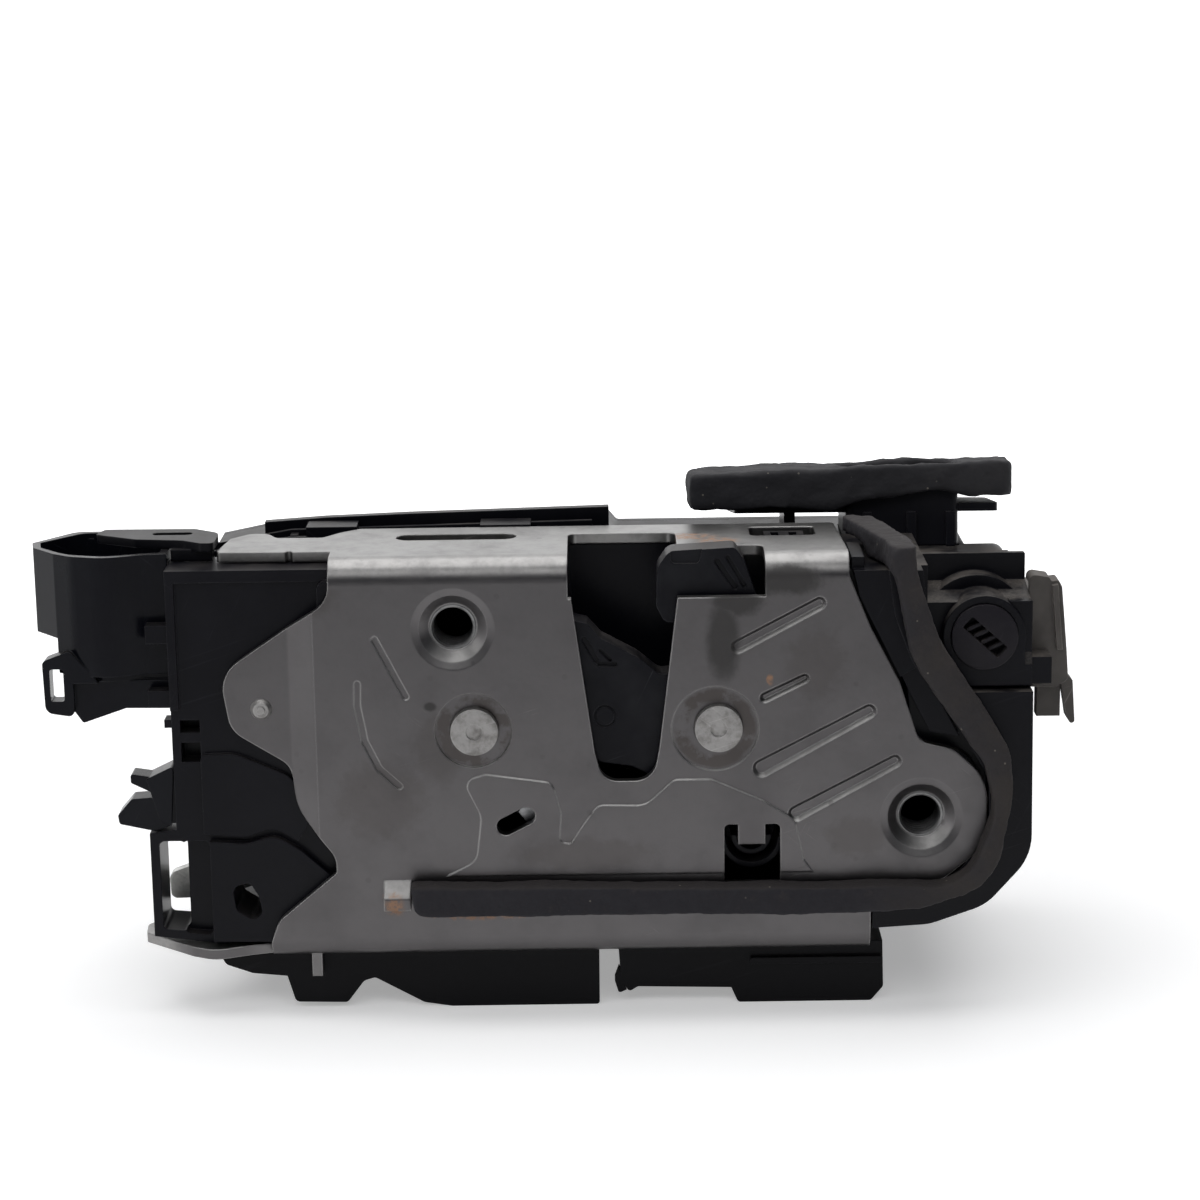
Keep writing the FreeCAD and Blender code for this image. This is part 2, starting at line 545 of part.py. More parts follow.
def connector_pins():
    pins = []
    for x, y in pin_places():
        blade = block(x - 0.32, x + 0.32, y - 0.32, y + 0.32, -1.5, 13)
        pins.append(tilted(blade))
    return Part.makeCompound(pins)


# Actuator case and its cover

def case_outline(grow=0, drop=0):
    # drop lowers the top to the right of the wiring socket
    top = case_top - grow
    return [(-46 + grow, top - 1.6), (-37, top + 0.2), (-20, top + 1.3), (26.6, top + 2.4), (28.6, top, 1),
            (91.6 - grow, top, 0.5), (93.2 - grow, top - drop, 0.5), (98.6 - grow, top - drop, 2), (99.6 - grow, -42, 10),
            (91.8 - grow * 0.7, -50.8 + grow * 0.7, 9), (82, -54.2 + grow, 8), (70, housing_bottom + grow, 1),
            (-32, housing_bottom + grow, 2), (-46 + grow, -36, 4)]


def case_body(grow, y0, y1, step_y):
    # full height behind the rotor, lower corner from there back
    return along_y(case_outline(grow), y0, step_y).fuse(along_y(case_outline(grow, corner_drop), y0, y1))


def actuator_case():
    body = case_body(0, case_front, case_back, 34)
    body = body.cut(case_body(wall, inner_front, case_back + 1, 34 - wall))
    # skirt forward to the front housing, open on the side where the levers leave
    skirt = along_y(case_outline(), back_plate_y, case_front).cut(along_y(case_outline(wall), 0, case_front))
    skirt = skirt.cut([block(-50, -30, 0, case_front, -60, 8), block(17.8, 41.4, 0, mouth_back + 1.6, 0, 20)])
    ledge = [block(68.2, 81.4, back_plate_y, case_front + 4, case_top - 1, 9.1),
             block(81, 98.4, back_plate_y, case_front + 2, case_top - 1.2, case_top + 0.4)]
    # twin-toothed clip under the flange's right slot
    clip = block(54.2, 61.2, 16, 20.4, case_top - 0.5, 11.6)
    clip = clip.cut([block(x, x + 1.4, 15, 19.4, 10.8, 12) for x in (55.4, 58.6)])
    body = join([body, skirt, clip, case_outside(), case_inside()] + ledge)
    cuts = [arc_band(sector_x, wheel_z, 11.4, 16.6, 178, 240, case_front - 1, inner_front + 1),
            disc(rotor_x, rotor_z, 3 + running, case_front - 3, inner_front + 3),
            tilted(block(socket_left - 0.1, socket_right + 0.1, 33.9, 53.1, 1.4, 30)), screw_holes()]
    return body.cut(cuts).removeSplitter()


def case_outside():
    # ridge and ribs along the top, ribs on the right, pads under the connector
    ridge = along_y([(-35, 4.6), (27, 4.6), (27, 14.2), (-9, 13.4), (-24, 12.9), (-35, 12.2)], 31, 33)
    step = along_y([(-31, 4.6), (24, 4.6), (24, 12.6), (-31, 11.2)], 33, 36)
    rails = [along_y([(-44, 2.8), (24, 2.8), (24, top), (-30, top - 1), (-44, top - 3.4)], y, y + 0.9)
             for y, top in ((25.2, 11.6), (28, 12.4))]
    combs = [block(x, x + 1.4, 26, 31.1, 4.6, 10.8) for x in (-30, -18, 2, 20)]
    lugs = [block(x, x + 9, case_front + 0.5, case_front + 6, 4.6, 12.4) for x in (-27, 4)]
    right = [block(99, 100.6, y, y + 1.6, -36, -15) for y in (30, 38, 46, 54)]
    under = [along_x([(45, -58.6), (56, -58.6, 1), (56, -56), (45, -56)], x, x + 2) for x in (-20, 0, 20, 40, 60)]
    return join([ridge, step] + rails + combs + lugs + right + under)


def case_inside():
    # motor cradle, wheel axle, lever pivot and screw towers
    cradle = [block(x, x + 2.2, inner_front - 0.1, drive_y + 2, motor_z - 13.2, motor_z + 13).cut(
        disc_x(drive_y, motor_z, motor_r + seat, 50, 100)) for x in (motor_x + 3, motor_x + motor_length - 7)]
    bearing = block(29.4, 32, inner_front - 0.1, drive_y + 3.4, motor_z - 4, motor_z + 4)
    bearing = bearing.cut(disc_x(drive_y, motor_z, shaft_r + running, 25, 40))
    axles = [disc(wheel_x, wheel_z, 2.2, inner_front - 0.1, drive_y + 9.4),
             disc(sector_x, wheel_z, 2.2, inner_front - 0.1, drive_y + 9.4),
             disc(wheel_x, wheel_z, 4, inner_front - 0.1, drive_y - 3.4),
             disc(sector_x, wheel_z, 4, inner_front - 0.1, drive_y + 3.2)]
    towers = [disc(x, z, 3.4, inner_front - 0.1, case_back) for x, z in screw_spots()]
    return join(cradle + [bearing] + axles + towers)


def disc_x(y, z, r, x0, x1):
    return Part.makeCylinder(r, x1 - x0, V(x0, y, z), V(1, 0, 0))


def screw_spots():
    return [(-40.4, 0.4), (-28, -50.6), (24, 3.4), (50, -51.6), (93.6, -15.6)]


def screw_holes():
    return join([disc(x, z, 1.25, case_back - 12, case_back + 1) for x, z in screw_spots()])


def actuator_cover():
    body = along_y(case_outline(0, corner_drop), case_back + seat, case_back + seat + cover_thick)
    lip = along_y(case_outline(wall + 0.2, corner_drop), case_back - 1.6, case_back + seat + 0.1)
    lip = lip.cut(along_y(case_outline(wall + 1.6, corner_drop), case_back - 3, case_back + 2))
    top = case_back + seat + cover_thick
    dome = taper(wheel_x, wheel_z, 19, 17.6, top - 0.5, top + 2.4)
    motor_bump = along_y(rect(56, 92, motor_z - 11, motor_z + 13, 5), top - 0.5, top + 1.8)
    arm = along_y(bar(sector_x, wheel_z, -30, -20, 14, 9), top - 0.5, top + 1.2)
    bosses = [disc(x, z, 4.4, top - 0.5, top + 1) for x, z in screw_spots()]
    ribs = [along_y(bar(*b, 0.8), top - 0.5, top + 1.6) for b in
            [(-35, -2, 20, -2), (-36, -34, 16, -44), (-22, -50, 44, -50), (66, -8, 90, -18)]]
    window = along_y(rect(-24, -6, -30, -12, 2), top + 0.5, top + 3)
    clear = [disc(x, z, 3.75, case_back - 4, case_back + 0.1) for x, z in screw_spots()]
    body = join([body, lip, dome, motor_bump, arm] + bosses + ribs).cut([window] + clear)
    body = body.cut([disc(x, z, 1.8, case_back - 1, top + 3) for x, z in screw_spots()])
    body = body.cut([disc(x, wheel_z, 2.3 + seat, case_back - 4, case_back + 0.9) for x in (wheel_x, sector_x)])
    return body.removeSplitter()


def cover_screws():
    top = case_back + seat + cover_thick + 1
    screws = []
    for x, z in screw_spots():
        head = join([taper(x, z, 3.2, 2.6, top, top + 1.6), disc(x, z, 1.2, case_back - 11, top + 0.1)])
        screws.append(head)
    return Part.makeCompound(screws)


# Locking drive

def lock_motor():
    x0 = motor_x
    can = disc_x(drive_y, motor_z, motor_r, x0, x0 + motor_length)
    can = can.common(block(x0 - 1, x0 + 60, drive_y - 9.8, drive_y + 9.8, motor_z - 20, motor_z + 20))
    neck = disc_x(drive_y, motor_z, 4, x0 - 1.8, x0 + 0.1)
    cap = disc_x(drive_y, motor_z, 5, x0 + motor_length - 0.1, x0 + motor_length + 1.6)
    bore = disc_x(drive_y, motor_z, shaft_r + running, x0 - 3, x0 + motor_length - 4)
    tags = [block(x0 + motor_length - 0.1, x0 + motor_length + 2.4, drive_y - 1.6, drive_y + 1.6, z, z + 0.6)
            for z in tag_places()]
    return join([can, neck, cap] + tags).cut(bore)


def tag_places():
    return [motor_z - 7, motor_z + 6.4]


def worm():
    # one-start screw: a helical tooth swept round the shaft
    pitch = math.pi * module
    turns = 5
    x0 = wheel_x - pitch * turns / 2
    root_r = worm_r - 1.25 * module
    tip_r = worm_r + module
    half_root = pitch / 4 + 1.25 * module * 0.36 - backlash / 2
    half_tip = half_root - (tip_r - root_r) * 0.36
    helix = Part.makeHelix(pitch, pitch * turns, root_r)
    tooth = Part.makePolygon([V(root_r - 0.3, 0, -half_root), V(tip_r, 0, -half_tip), V(tip_r, 0, half_tip),
                              V(root_r - 0.3, 0, half_root), V(root_r - 0.3, 0, -half_root)])
    thread = Part.Wire(helix).makePipeShell([tooth], True, True)
    length = pitch * turns
    core = Part.makeCylinder(root_r, length + 1.2, V(0, 0, -0.6))
    body = core.fuse(thread)
    body.rotate(V(0, 0, 0), V(0, 1, 0), 90)
    body.translate(V(x0, drive_y, motor_z))
    shaft = disc_x(drive_y, motor_z, shaft_r, 29.4, motor_x + motor_length - 5)
    return body.fuse(shaft).removeSplitter()


def worm_wheel():
    pitch_r = module * wheel_teeth / 2
    tip_r = pitch_r + module
    root_r = pitch_r - 1.25 * module
    y0, y1 = drive_y - 3, drive_y + 3
    lead = math.atan(module / (2 * worm_r))
    body = disc(wheel_x, wheel_z, tip_r, y0, y1)
    gaps = []
    half_tip = math.pi * module / 4 + module * 0.36 + backlash / 4
    half_root = math.pi * module / 4 - 1.25 * module * 0.36 + backlash / 4
    for i in range(wheel_teeth):
        wires = []
        for y in (y0 - 0.01, drive_y, y1 + 0.01):
            shift = (drive_y - y) * math.tan(lead)
            corner = [(-half_tip * 1.05, -tip_r - 0.2), (half_tip * 1.05, -tip_r - 0.2), (half_root, -root_r),
                      (-half_root, -root_r)]
            ring = [V(wheel_x + a + shift, y, wheel_z + b) for a, b in corner]
            wires.append(Part.makePolygon(ring + ring[:1]))
        gap = Part.makeLoft(wires, True, True)
        gaps.append(turned(gap, wheel_x, wheel_z, 360.0 * i / wheel_teeth))
    body = body.cut(Part.makeCompound(gaps))
    small = gear(wheel_x, wheel_z, pinion_module, pinion_teeth, drive_y + 3.5, drive_y + 8.5, 0.5)
    body = join([body, disc(wheel_x, wheel_z, 3.6, y1 - 0.1, drive_y + 3.6), small])
    lighten = [disc(wheel_x + 8.6 * math.cos(a), wheel_z + 8.6 * math.sin(a), 2, y0 - 1, y1 + 1)
               for a in [math.radians(60 * k + 30) for k in range(6)]]
    return body.cut([disc(wheel_x, wheel_z, 2.2 + running, y0 - 1, y1 + 9)] + lighten).removeSplitter()


def gear(x, z, m, teeth, y0, y1, phase, first=0, last=None):
    # straight-flanked teeth round a disc; phase turns it by parts of a tooth, counted from +X
    pitch_r = m * teeth / 2
    root_r = pitch_r - 1.2 * m
    base = math.pi * m / 4 + 1.2 * m * 0.36 - backlash / 4
    crest = math.pi * m / 4 - 0.8 * m * 0.36 - backlash / 4
    parts = [disc(x, z, root_r, y0, y1)]
    for i in range(first, teeth if last is None else last):
        tooth = along_y([(x + root_r - 0.4, z - base), (x + pitch_r + 0.8 * m, z - crest),
                         (x + pitch_r + 0.8 * m, z + crest), (x + root_r - 0.4, z + base)], y0, y1)
        parts.append(turned(tooth, x, z, 360.0 * (i + phase) / teeth))
    return join(parts)


def lock_lever():
    # toothed sector on its pivot with an arm whose finger reaches forward to the release levers
    y0, y1 = drive_y + 3.5, drive_y + 8.5
    x, z = sector_x, wheel_z
    sector = gear(x, z, pinion_module, sector_teeth, y0, y1, 0, -3, 5)
    wedge = along_y([(x - 4, z), (x + 4, z - 16), (x + 24, z - 12), (x + 24, z + 14), (x + 2, z + 16)], y0, y1)
    sector = sector.common(wedge)
    hub = disc(x, z, 4.6, drive_y + 3.3, drive_y + 8.6)
    tip = (x - 14 * math.cos(math.radians(9)), z - 14 * math.sin(math.radians(9)))
    arm = along_y(bar(x, z, tip[0], tip[1], 4.4, 2.8), y0, y0 + 3)
    finger = disc(tip[0], tip[1], 2.2, lever_b_y - 0.2, y0 + 0.1)
    return join([sector, hub, arm, finger]).cut(disc(x, z, 2.2 + running, y0 - 1, y1 + 1)).removeSplitter()


# Release levers on one stud

def lever_stud():
    shoulder = disc(lever_x, lever_z, stud_r, back_plate_y, lever_b_y + lever_thick + 0.3)
    foot = taper(lever_x, lever_z, stud_r - 0.6, stud_r + 0.8, back_plate_y - 1.2, back_plate_y)
    collar = disc(lever_x, lever_z, 4.6, back_plate_y + back_plate_thick, lever_a_y - 0.1)
    head = disc(lever_x, lever_z, 4.4, lever_b_y + lever_thick + 0.3, lever_b_y + lever_thick + 1.3)
    return join([shoulder, foot, head]), collar


def outside_lever():
    y0, y1 = lever_a_y, lever_a_y + lever_thick
    reach = along_y([(lever_x - 6, lever_z + 3, 3), (lever_x + 4, lever_z + 8, 3), (-9, -21.9, 1.5), (-2.6, -21.7, 1),
                     (-2.6, -24, 1), (-8, -27.4, 2), (lever_x + 7, lever_z - 4, 3), (lever_x, lever_z - 7, 5),
                     (lever_x - 14, lever_z - 11.9, 2), (-53, -54.1, 1.2), (-53.2, -49.4, 1.6), (-45, -46.4, 3)],
                    y0, y1)
    return reach.cut(disc(lever_x, lever_z, stud_r + running, y0 - 1, y1 + 1)).removeSplitter()


def inside_lever():
    y0, y1 = lever_b_y, lever_b_y + lever_thick
    right = bar(lever_x, lever_z, -6, -25, 6, 2.6)
    left = along_y([(lever_x - 5.6, lever_z - 3, 4), (lever_x + 5.4, lever_z + 4, 4), (-42, -18, 8), (-53.6, 2.6, 3),
                    (-60.4, 4, 4), (-62.6, -2.6, 4), (-56, -5.4, 2), (-50, -12.6, 3)], y0, y1)
    lever = join([along_y(right, y0, y1), left])
    eye = disc(-57.6, -0.6, 1.75, y0 - 1, y1 + 1)
    return lever.cut([disc(lever_x, lever_z, stud_r + running, y0 - 1, y1 + 1), eye]).removeSplitter()


# Emergency lock rotor, sensor and wiring

def emergency_rotor():
    x, z = rotor_x, rotor_z
    head = disc(x, z, rotor_r, -1.1, 8)
    slot = along_y(rect(x - 4.1, x + 4.1, z - 1.25, z + 1.25, 0.3), -2, 1.6)
    teeth = [along_y(bar(x - 2.9 + 1.7 * i, z - 1, x - 2.1 + 1.7 * i, z + 1, 0.28), -0.4, 1.7) for i in range(4)]
    slot = turned(slot.cut(join(teeth)), x, z, -42)
    stem = disc(x, z, 3, 7.9, inner_front + 4.2)
    cam = along_y(bar(x, z, x - 4.4, z - 4.4, 3.4, 1.6), inner_front + 1, inner_front + 4)
    return join([head, stem, cam]).cut(slot).removeSplitter()


def catch_sensor():
    x, z = catch_x + 11.2, pin_z - 1.3
    body = along_y(rect(x - 3, x + 3, z - 2.4, z + 2.4, 0.6), catch_back + 0.4, floor_front - 0.02)
    y0, y1 = floor_front - 0.8, floor_front - 0.02
    legs = [block(x + a - 0.25, x + a + 0.25, y0, y1, z - 5, z - 2.2) for a in (-1.6, 0, 1.6)]
    return join([body] + legs)


def contact_strips():
    y0, y1 = inner_front, inner_front + 0.6
    riser = motor_x + motor_length + 1.2
    strips = []
    for k, low in enumerate(tag_places()):
        x, turn, top = riser - 4 * k, motor_z + 17.6 - 3 * k, pin_places()[2 - 2 * k][0]
        path = join([block(x, riser + 1, y0, y1, low, low + 1), block(x, x + 1, y0, y1, low, turn),
                     block(riser, riser + 1, y0, drive_y - 1.7, low, low + 0.6),
                     block(top - 0.4, x + 1, y0, y1, turn - 1, turn), block(top - 0.4, top + 0.4, y0, y1, turn - 0.1, -6),
                     block(top - 0.4, top + 0.4, y0, pin_front_y - 1.1, -6.6, -6)])
        strips.append(path)
    return Part.makeCompound(strips)


# Cable cup, covers, clips and lower guards

def cup_plan(inset=0):
    return [(-74.4 + inset, 17, 0.5), (-73.6 + inset, 13, 0.5), (-69.2 + inset * 0.6, 7.8 + inset * 0.6, 0.8),
            (-66, 5.4 + inset, 5), (-60, 3.6 + inset, 8), (-53.6, 6 + inset, 3), (-49.4 - inset, 6.4 + inset),
            (-49.4 - inset, 26 - inset), (-68 + inset, 26 - inset, 3)]


def cable_shroud():
    t = 1.4
    body = along_z(cup_plan(), -9.2, 12).cut(along_z(cup_plan(t), -20, 20))
    low_side = along_z([(-80, 28), (-80, 3), (-69.2, 3), (-69.2, 9.6), (-66.6, 12), (-66.6, 28)], -20, -3)
    body = body.cut(low_side)
    floor = along_z([(-66.4, 7, 1), (-60, 5.2, 6), (-53.6, 7, 2), (-49.4, 7), (-49.4, 25.9), (-66.4, 25.9)], -10.4, -9)
    floor = floor.cut(post(-58, 15, 4.4, -12, 0))
    eye = along_y([(-71.6, -6.4, 1), (-66.8, -4.6, 1), (-63, -8.8), (-62, -10.4), (-66.4, -10.4), (-66.4, -16.4, 1),
                   (-71.4, -15.6, 1.6)], 4.6, 8)
    eye = eye.cut(along_y(rect(-70.4, -68, -13.6, -7.8, 0.5), 0, 10))
    fin = along_y([(-66.6, -10.3), (-66.6, -15.8), (-65.2, -17.9, 0.5), (-57.6, -15.3), (-49.4, -15.4), (-49.4, -10.3)],
                  6.1, 7.5)
    opening = [block(-52, -49, lever_a_y - 1, lever_b_y + lever_thick + 1, -20, 13),
               block(-70, -49, lever_b_y - 1, lever_b_y + lever_thick + 1, -20, -8.6)]
    ribs = [block(-66 + 6 * i, -64.8 + 6 * i, 24.5, 27.2, -9, 11) for i in range(3)]
    return join([body, floor, eye, fin] + ribs).cut(opening).removeSplitter()


def bridge_cover():
    top = along_z([(-63, 15.8, 1), (-55.4, 11.4, 2), (-47, 10, 3), (-43.6, 7.4, 1), (-41.4, 7.4, 1), (-41.4, 16, 3),
                   (-46, 19.6, 2), (-62, 20, 1)], 12.1, 13.6)
    dent = along_z([(-53, 14.6, 1), (-46, 14.6, 1), (-46, 16.6, 1), (-53, 16.6, 1)], 13, 14)
    skirt = block(-49, -41.8, 8.8, 12.1, 10.2, 12.2)
    return join([top, skirt]).cut(dent)


def side_cover():
    face = [(99.5, 6.3, 1), (103, 5.7, 0.5), (103.3, 5, 0.3), (104.6, 5.2, 0.6), (105.2, 4, 0.5), (106.2, -7, 1),
            (106.6, -12.6, 1), (104.4, -14, 1), (99.5, -13.8)]
    rear = [(99.5, 0.6), (103, 0.2, 1), (105, -6, 1), (105.2, -12, 1), (99.5, -13.4)]
    shell = along_y(face, 6.5, 11).fuse(along_y(rear, 10, 30))
    hollow = along_y([(99, 4.8), (102.4, 4.4), (103.8, -1), (104.9, -11), (103.8, -12.4), (99, -12.2)], 7.9, 12)
    deep = along_y([(99, -0.9), (102.2, -1.2), (103.6, -6.2), (103.8, -11), (99, -12)], 7.9, 28.6)
    bead = along_y([(103.4, 4.4), (104.4, 4.6), (105.4, -7), (104.4, -7)], 5.7, 6.6)
    tooth = along_y([(105.4, -13.2), (106.5, -11.7), (107.4, -12.8), (107.9, -20.3, 0.4), (107.2, -20.6, 0.4),
                     (106.4, -19.4)], 6.6, 9.4)
    nib = block(101.3, 105.4, 7.4, 10.4, -19.4, -13.5)
    return join([shell.cut([hollow, deep]), bead, tooth, nib])


def cable_clip():
    wedge = along_y([(-54.2, -27.2), (-49.4, -24.9, 0.4), (-50.2, -35.8), (-52.2, -34.6)], 2.4, 7.6)
    upper = along_y([(-57, -26.4, 0.4), (-53.4, -27), (-53, -30), (-57, -28, 0.4)], 3, 7.2)
    stem = block(-51, -49.35, 3, 7, -35.4, -26.2)
    lower = along_y([(-59.5, -33.8, 0.5), (-57, -30.9, 0.5), (-52, -30.6), (-50.4, -35.8), (-53, -36.8, 0.6),
                     (-59.3, -35.4, 0.6)], 2.8, 7.2)
    return join([wedge, upper, stem, lower])


def guard_shell(edge, inner, y0, y1):
    return along_y(edge, y0, y1).cut(along_y(inner, y0 + wall, y1 - wall))


def lower_guard_left():
    base = bottom_z - 0.05
    edge = [(-43.4, base), (-42, -62.2, 1.5), (-37.3, -63.9, 2), (-31.2, -64.5), (-29.8, -69.4, 1), (-20.6, -69.6, 1), (-17.6, -65.6, 1.5),
            (-15.6, -65, 1), (-7, -69.8, 2), (-2, -70.6), (24.2, -70.6, 0.6), (24.2, base)]
    inner = [(-38, 0), (-38, -61.4), (-28.6, -62.6), (-27.6, -67.4, 1), (-21.4, -67.6, 1), (-18.4, -63.8, 1.5),
             (-15, -63.2, 1), (-6.6, -67.8, 2), (22.4, -68.6, 0.6), (22.4, 0)]
    body = guard_shell(edge, inner, 4.3, 44)
    rear = [block(x, x + 14, bottom_flange - 1.8, 43.9, base - 0.2, housing_bottom - 0.1) for x in (-34, 8)]
    return join([body] + rear).cut(block(-60, 60, 0, 60, housing_bottom - 0.1, 0)).removeSplitter()


def lower_guard_right():
    base = bottom_z - 0.05
    edge = [(27.6, base), (28, -65.8, 0.6), (29.4, -68.4, 0.6), (31, -67.4, 1), (47.6, -67.8), (48.8, -70.6, 0.8),
            (72.4, -70.6, 0.8), (74.6, -68, 1), (74.4, base)]
    inner = [(29.6, 0), (29.8, -65.6, 1), (49, -65.9), (50, -68.7, 0.8), (72, -68.7, 0.8), (72.5, 0)]
    body = guard_shell(edge, inner, 4.3, 44)
    ledge = along_y(rect(51, 74.4, -63.2, -62, 0.3), 3.4, 4.4)
    hook = along_y([(27.7, -64), (26.9, -66.2, 0.4), (27.6, -68.6, 0.4), (29, -68)], 4.3, 7)
    rear = [block(x, x + 12, bottom_flange - 1.8, 43.9, base - 0.2, housing_bottom - 0.1) for x in (30, 58)]
    return join([body, ledge, hook] + rear).cut(block(0, 100, 0, 60, housing_bottom - 0.1, 0)).removeSplitter()


def build():
    plate = frame_plate()
    save("frame_plate", plate)
    save("catch_pin", pin(catch_x))
    save("pawl_pin", pin(pawl_pin_x))
    save("small_rivet", small_rivet())
    save("fixing_nuts", fixing_nuts())
    core, cover, magnet = catch_parts()
    save("catch_core", core)
    save("catch_cover", cover)
    save("catch_magnet", magnet)
    core, cover = pawl_parts()
    save("pawl_core", core)
    save("pawl_cover", cover)
    spring_y = catch_back + 0.15
    save("catch_spring", torsion_spring(catch_x, pin_z, spring_y, 6.4, 1.2,
                                        [(catch_x + 2, pin_z - 20), (catch_x + 8, pin_z + 14)]))
    save("pawl_spring", torsion_spring(pawl_pin_x, pin_z, spring_y, 6.2, 1.1,
                                       [(pawl_pin_x - 2, pin_z + 7.9), (pawl_pin_x + 9, pin_z - 9)]))
    save("latch_housing", latch_housing(plate))
    save("striker_bumper", striker_bumper())
    save("back_plate", back_plate())
    save("edge_seal", edge_seal())
    save("actuator_case", actuator_case())
    save("actuator_cover", actuator_cover())
    save("cover_screws", cover_screws())
    save("connector_shroud", connector_shroud())
    save("connector_pins", connector_pins())
    save("connector_gasket", connector_gasket())
    save("lock_motor", lock_motor())
    save("worm_shaft", worm())
    save("worm_wheel", worm_wheel())
    save("lock_lever", lock_lever())
    stud, collar = lever_stud()
    save("lever_stud", stud)
    save("lever_bush", collar.cut(stud))
    save("lever_spring", torsion_spring(lever_x, lever_z, back_plate_y + back_plate_thick + 0.1, 5.6, 1.2,
                                        [(-37.6, -51), (-19, -46)]))
    save("outside_lever", outside_lever())
    save("inside_lever", inside_lever())
    save("emergency_rotor", emergency_rotor())
    save("catch_sensor", catch_sensor())
    save("contact_strips", contact_strips())
    save("cable_shroud", cable_shroud())
    save("bridge_cover", bridge_cover())
    save("side_cover", side_cover())
    save("cable_clip", cable_clip())
    save("lower_guard_left", lower_guard_left())
    save("lower_guard_right", lower_guard_right())


build()
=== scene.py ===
import bmesh
import bpy
import math
from mathutils import Matrix, Vector, noise


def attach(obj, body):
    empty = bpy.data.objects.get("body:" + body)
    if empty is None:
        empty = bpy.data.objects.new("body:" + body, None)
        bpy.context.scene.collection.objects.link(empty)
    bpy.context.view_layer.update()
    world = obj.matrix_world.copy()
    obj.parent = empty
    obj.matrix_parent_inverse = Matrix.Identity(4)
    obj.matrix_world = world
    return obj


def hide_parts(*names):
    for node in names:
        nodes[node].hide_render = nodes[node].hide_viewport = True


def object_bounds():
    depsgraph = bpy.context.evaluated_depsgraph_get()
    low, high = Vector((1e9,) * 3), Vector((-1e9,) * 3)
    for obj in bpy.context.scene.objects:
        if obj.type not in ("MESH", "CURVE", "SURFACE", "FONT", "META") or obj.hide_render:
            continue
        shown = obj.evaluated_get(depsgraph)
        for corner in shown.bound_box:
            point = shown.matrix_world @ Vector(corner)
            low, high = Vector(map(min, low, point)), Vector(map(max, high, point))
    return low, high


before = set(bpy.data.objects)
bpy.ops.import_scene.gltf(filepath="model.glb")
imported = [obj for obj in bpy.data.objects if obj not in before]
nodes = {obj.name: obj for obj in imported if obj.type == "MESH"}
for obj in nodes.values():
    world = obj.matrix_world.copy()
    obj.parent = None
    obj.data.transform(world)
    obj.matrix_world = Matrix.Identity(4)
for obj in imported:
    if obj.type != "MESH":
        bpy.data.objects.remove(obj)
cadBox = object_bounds()
mm = 0.001
print("frame loaded,", len(nodes), "nodes")

# Camera

photoView = {
    "place": (0.02522, -0.49831, 0.12399),
    "lens": 90,
    "sensor": 36,
    "clip": (0.01, 20),
    "lookDown": 13.5,
    "lean": 0.8,
}


def placeCamera(values):
    data = bpy.data.cameras.new("photoCamera")
    data.lens = values["lens"]
    data.sensor_width = values["sensor"]
    data.clip_start, data.clip_end = values["clip"]
    camera = bpy.data.objects.new("photoCamera", data)
    bpy.context.collection.objects.link(camera)
    tilt = Matrix.Rotation(math.radians(90 - values["lookDown"]), 4, "X")
    lean = Matrix.Rotation(math.radians(-values["lean"]), 4, "Z")
    camera.matrix_world = Matrix.Translation(values["place"]) @ tilt @ lean
    bpy.context.scene.camera = camera


placeCamera(photoView)
print("camera placed")

# Mesh helpers


def meshPiece(name, points, faces):
    mesh = bpy.data.meshes.new(name)
    mesh.from_pydata([tuple(p) for p in points], [], faces)
    for polygon in mesh.polygons:
        polygon.use_smooth = True
    bm = bmesh.new()
    bm.from_mesh(mesh)
    bmesh.ops.recalc_face_normals(bm, faces=bm.faces)
    bm.to_mesh(mesh)
    bm.free()
    piece = bpy.data.objects.new(name, mesh)
    bpy.context.collection.objects.link(piece)
    return piece


def joinPieces(name, pieces):
    # several meshes become one object
    bm = bmesh.new()
    for piece in pieces:
        bm.from_mesh(piece.data)
        bpy.data.objects.remove(piece)
    mesh = bpy.data.meshes.new(name)
    bm.to_mesh(mesh)
    bm.free()
    joined = bpy.data.objects.new(name, mesh)
    bpy.context.collection.objects.link(joined)
    return joined


def tube(name, path, radius, sides):
    # round wire along the points, carried from one to the next without twist
    points, faces = [], []
    last = len(path) - 1
    ways = [(path[min(i + 1, last)] - path[max(i - 1, 0)]).normalized() for i in range(len(path))]
    side = ways[0].orthogonal().normalized()
    for i, centre in enumerate(path):
        side = (side - ways[i] * side.dot(ways[i])).normalized()
        up = ways[i].cross(side)
        for k in range(sides):
            angle = 2 * math.pi * k / sides
            points.append(centre + (side * math.cos(angle) + up * math.sin(angle)) * radius)
    for i in range(last):
        for k in range(sides):
            a, b = i * sides + k, i * sides + (k + 1) % sides
            faces.append((a, b, b + sides, a + sides))
    faces.append(tuple(range(sides)))
    faces.append(tuple(range(len(points) - sides, len(points))))
    return meshPiece(name, points, faces)


def spin(name, centre, rings, steps):
    # rings of (radius, depth), or of functions of the angle that give them, turned about Y
    points, faces = [], []
    for ring in rings:
        for k in range(steps):
            angle = 2 * math.pi * k / steps
            radius, depth = ring(angle) if callable(ring) else ring
            points.append(centre + Vector((radius * math.cos(angle), depth, radius * math.sin(angle))) * mm)
    for i in range(len(rings) - 1):
        for k in range(steps):
            a, b = i * steps + k, i * steps + (k + 1) % steps
            faces.append((a, b, b + steps, a + steps))
    return meshPiece(name, points, faces)


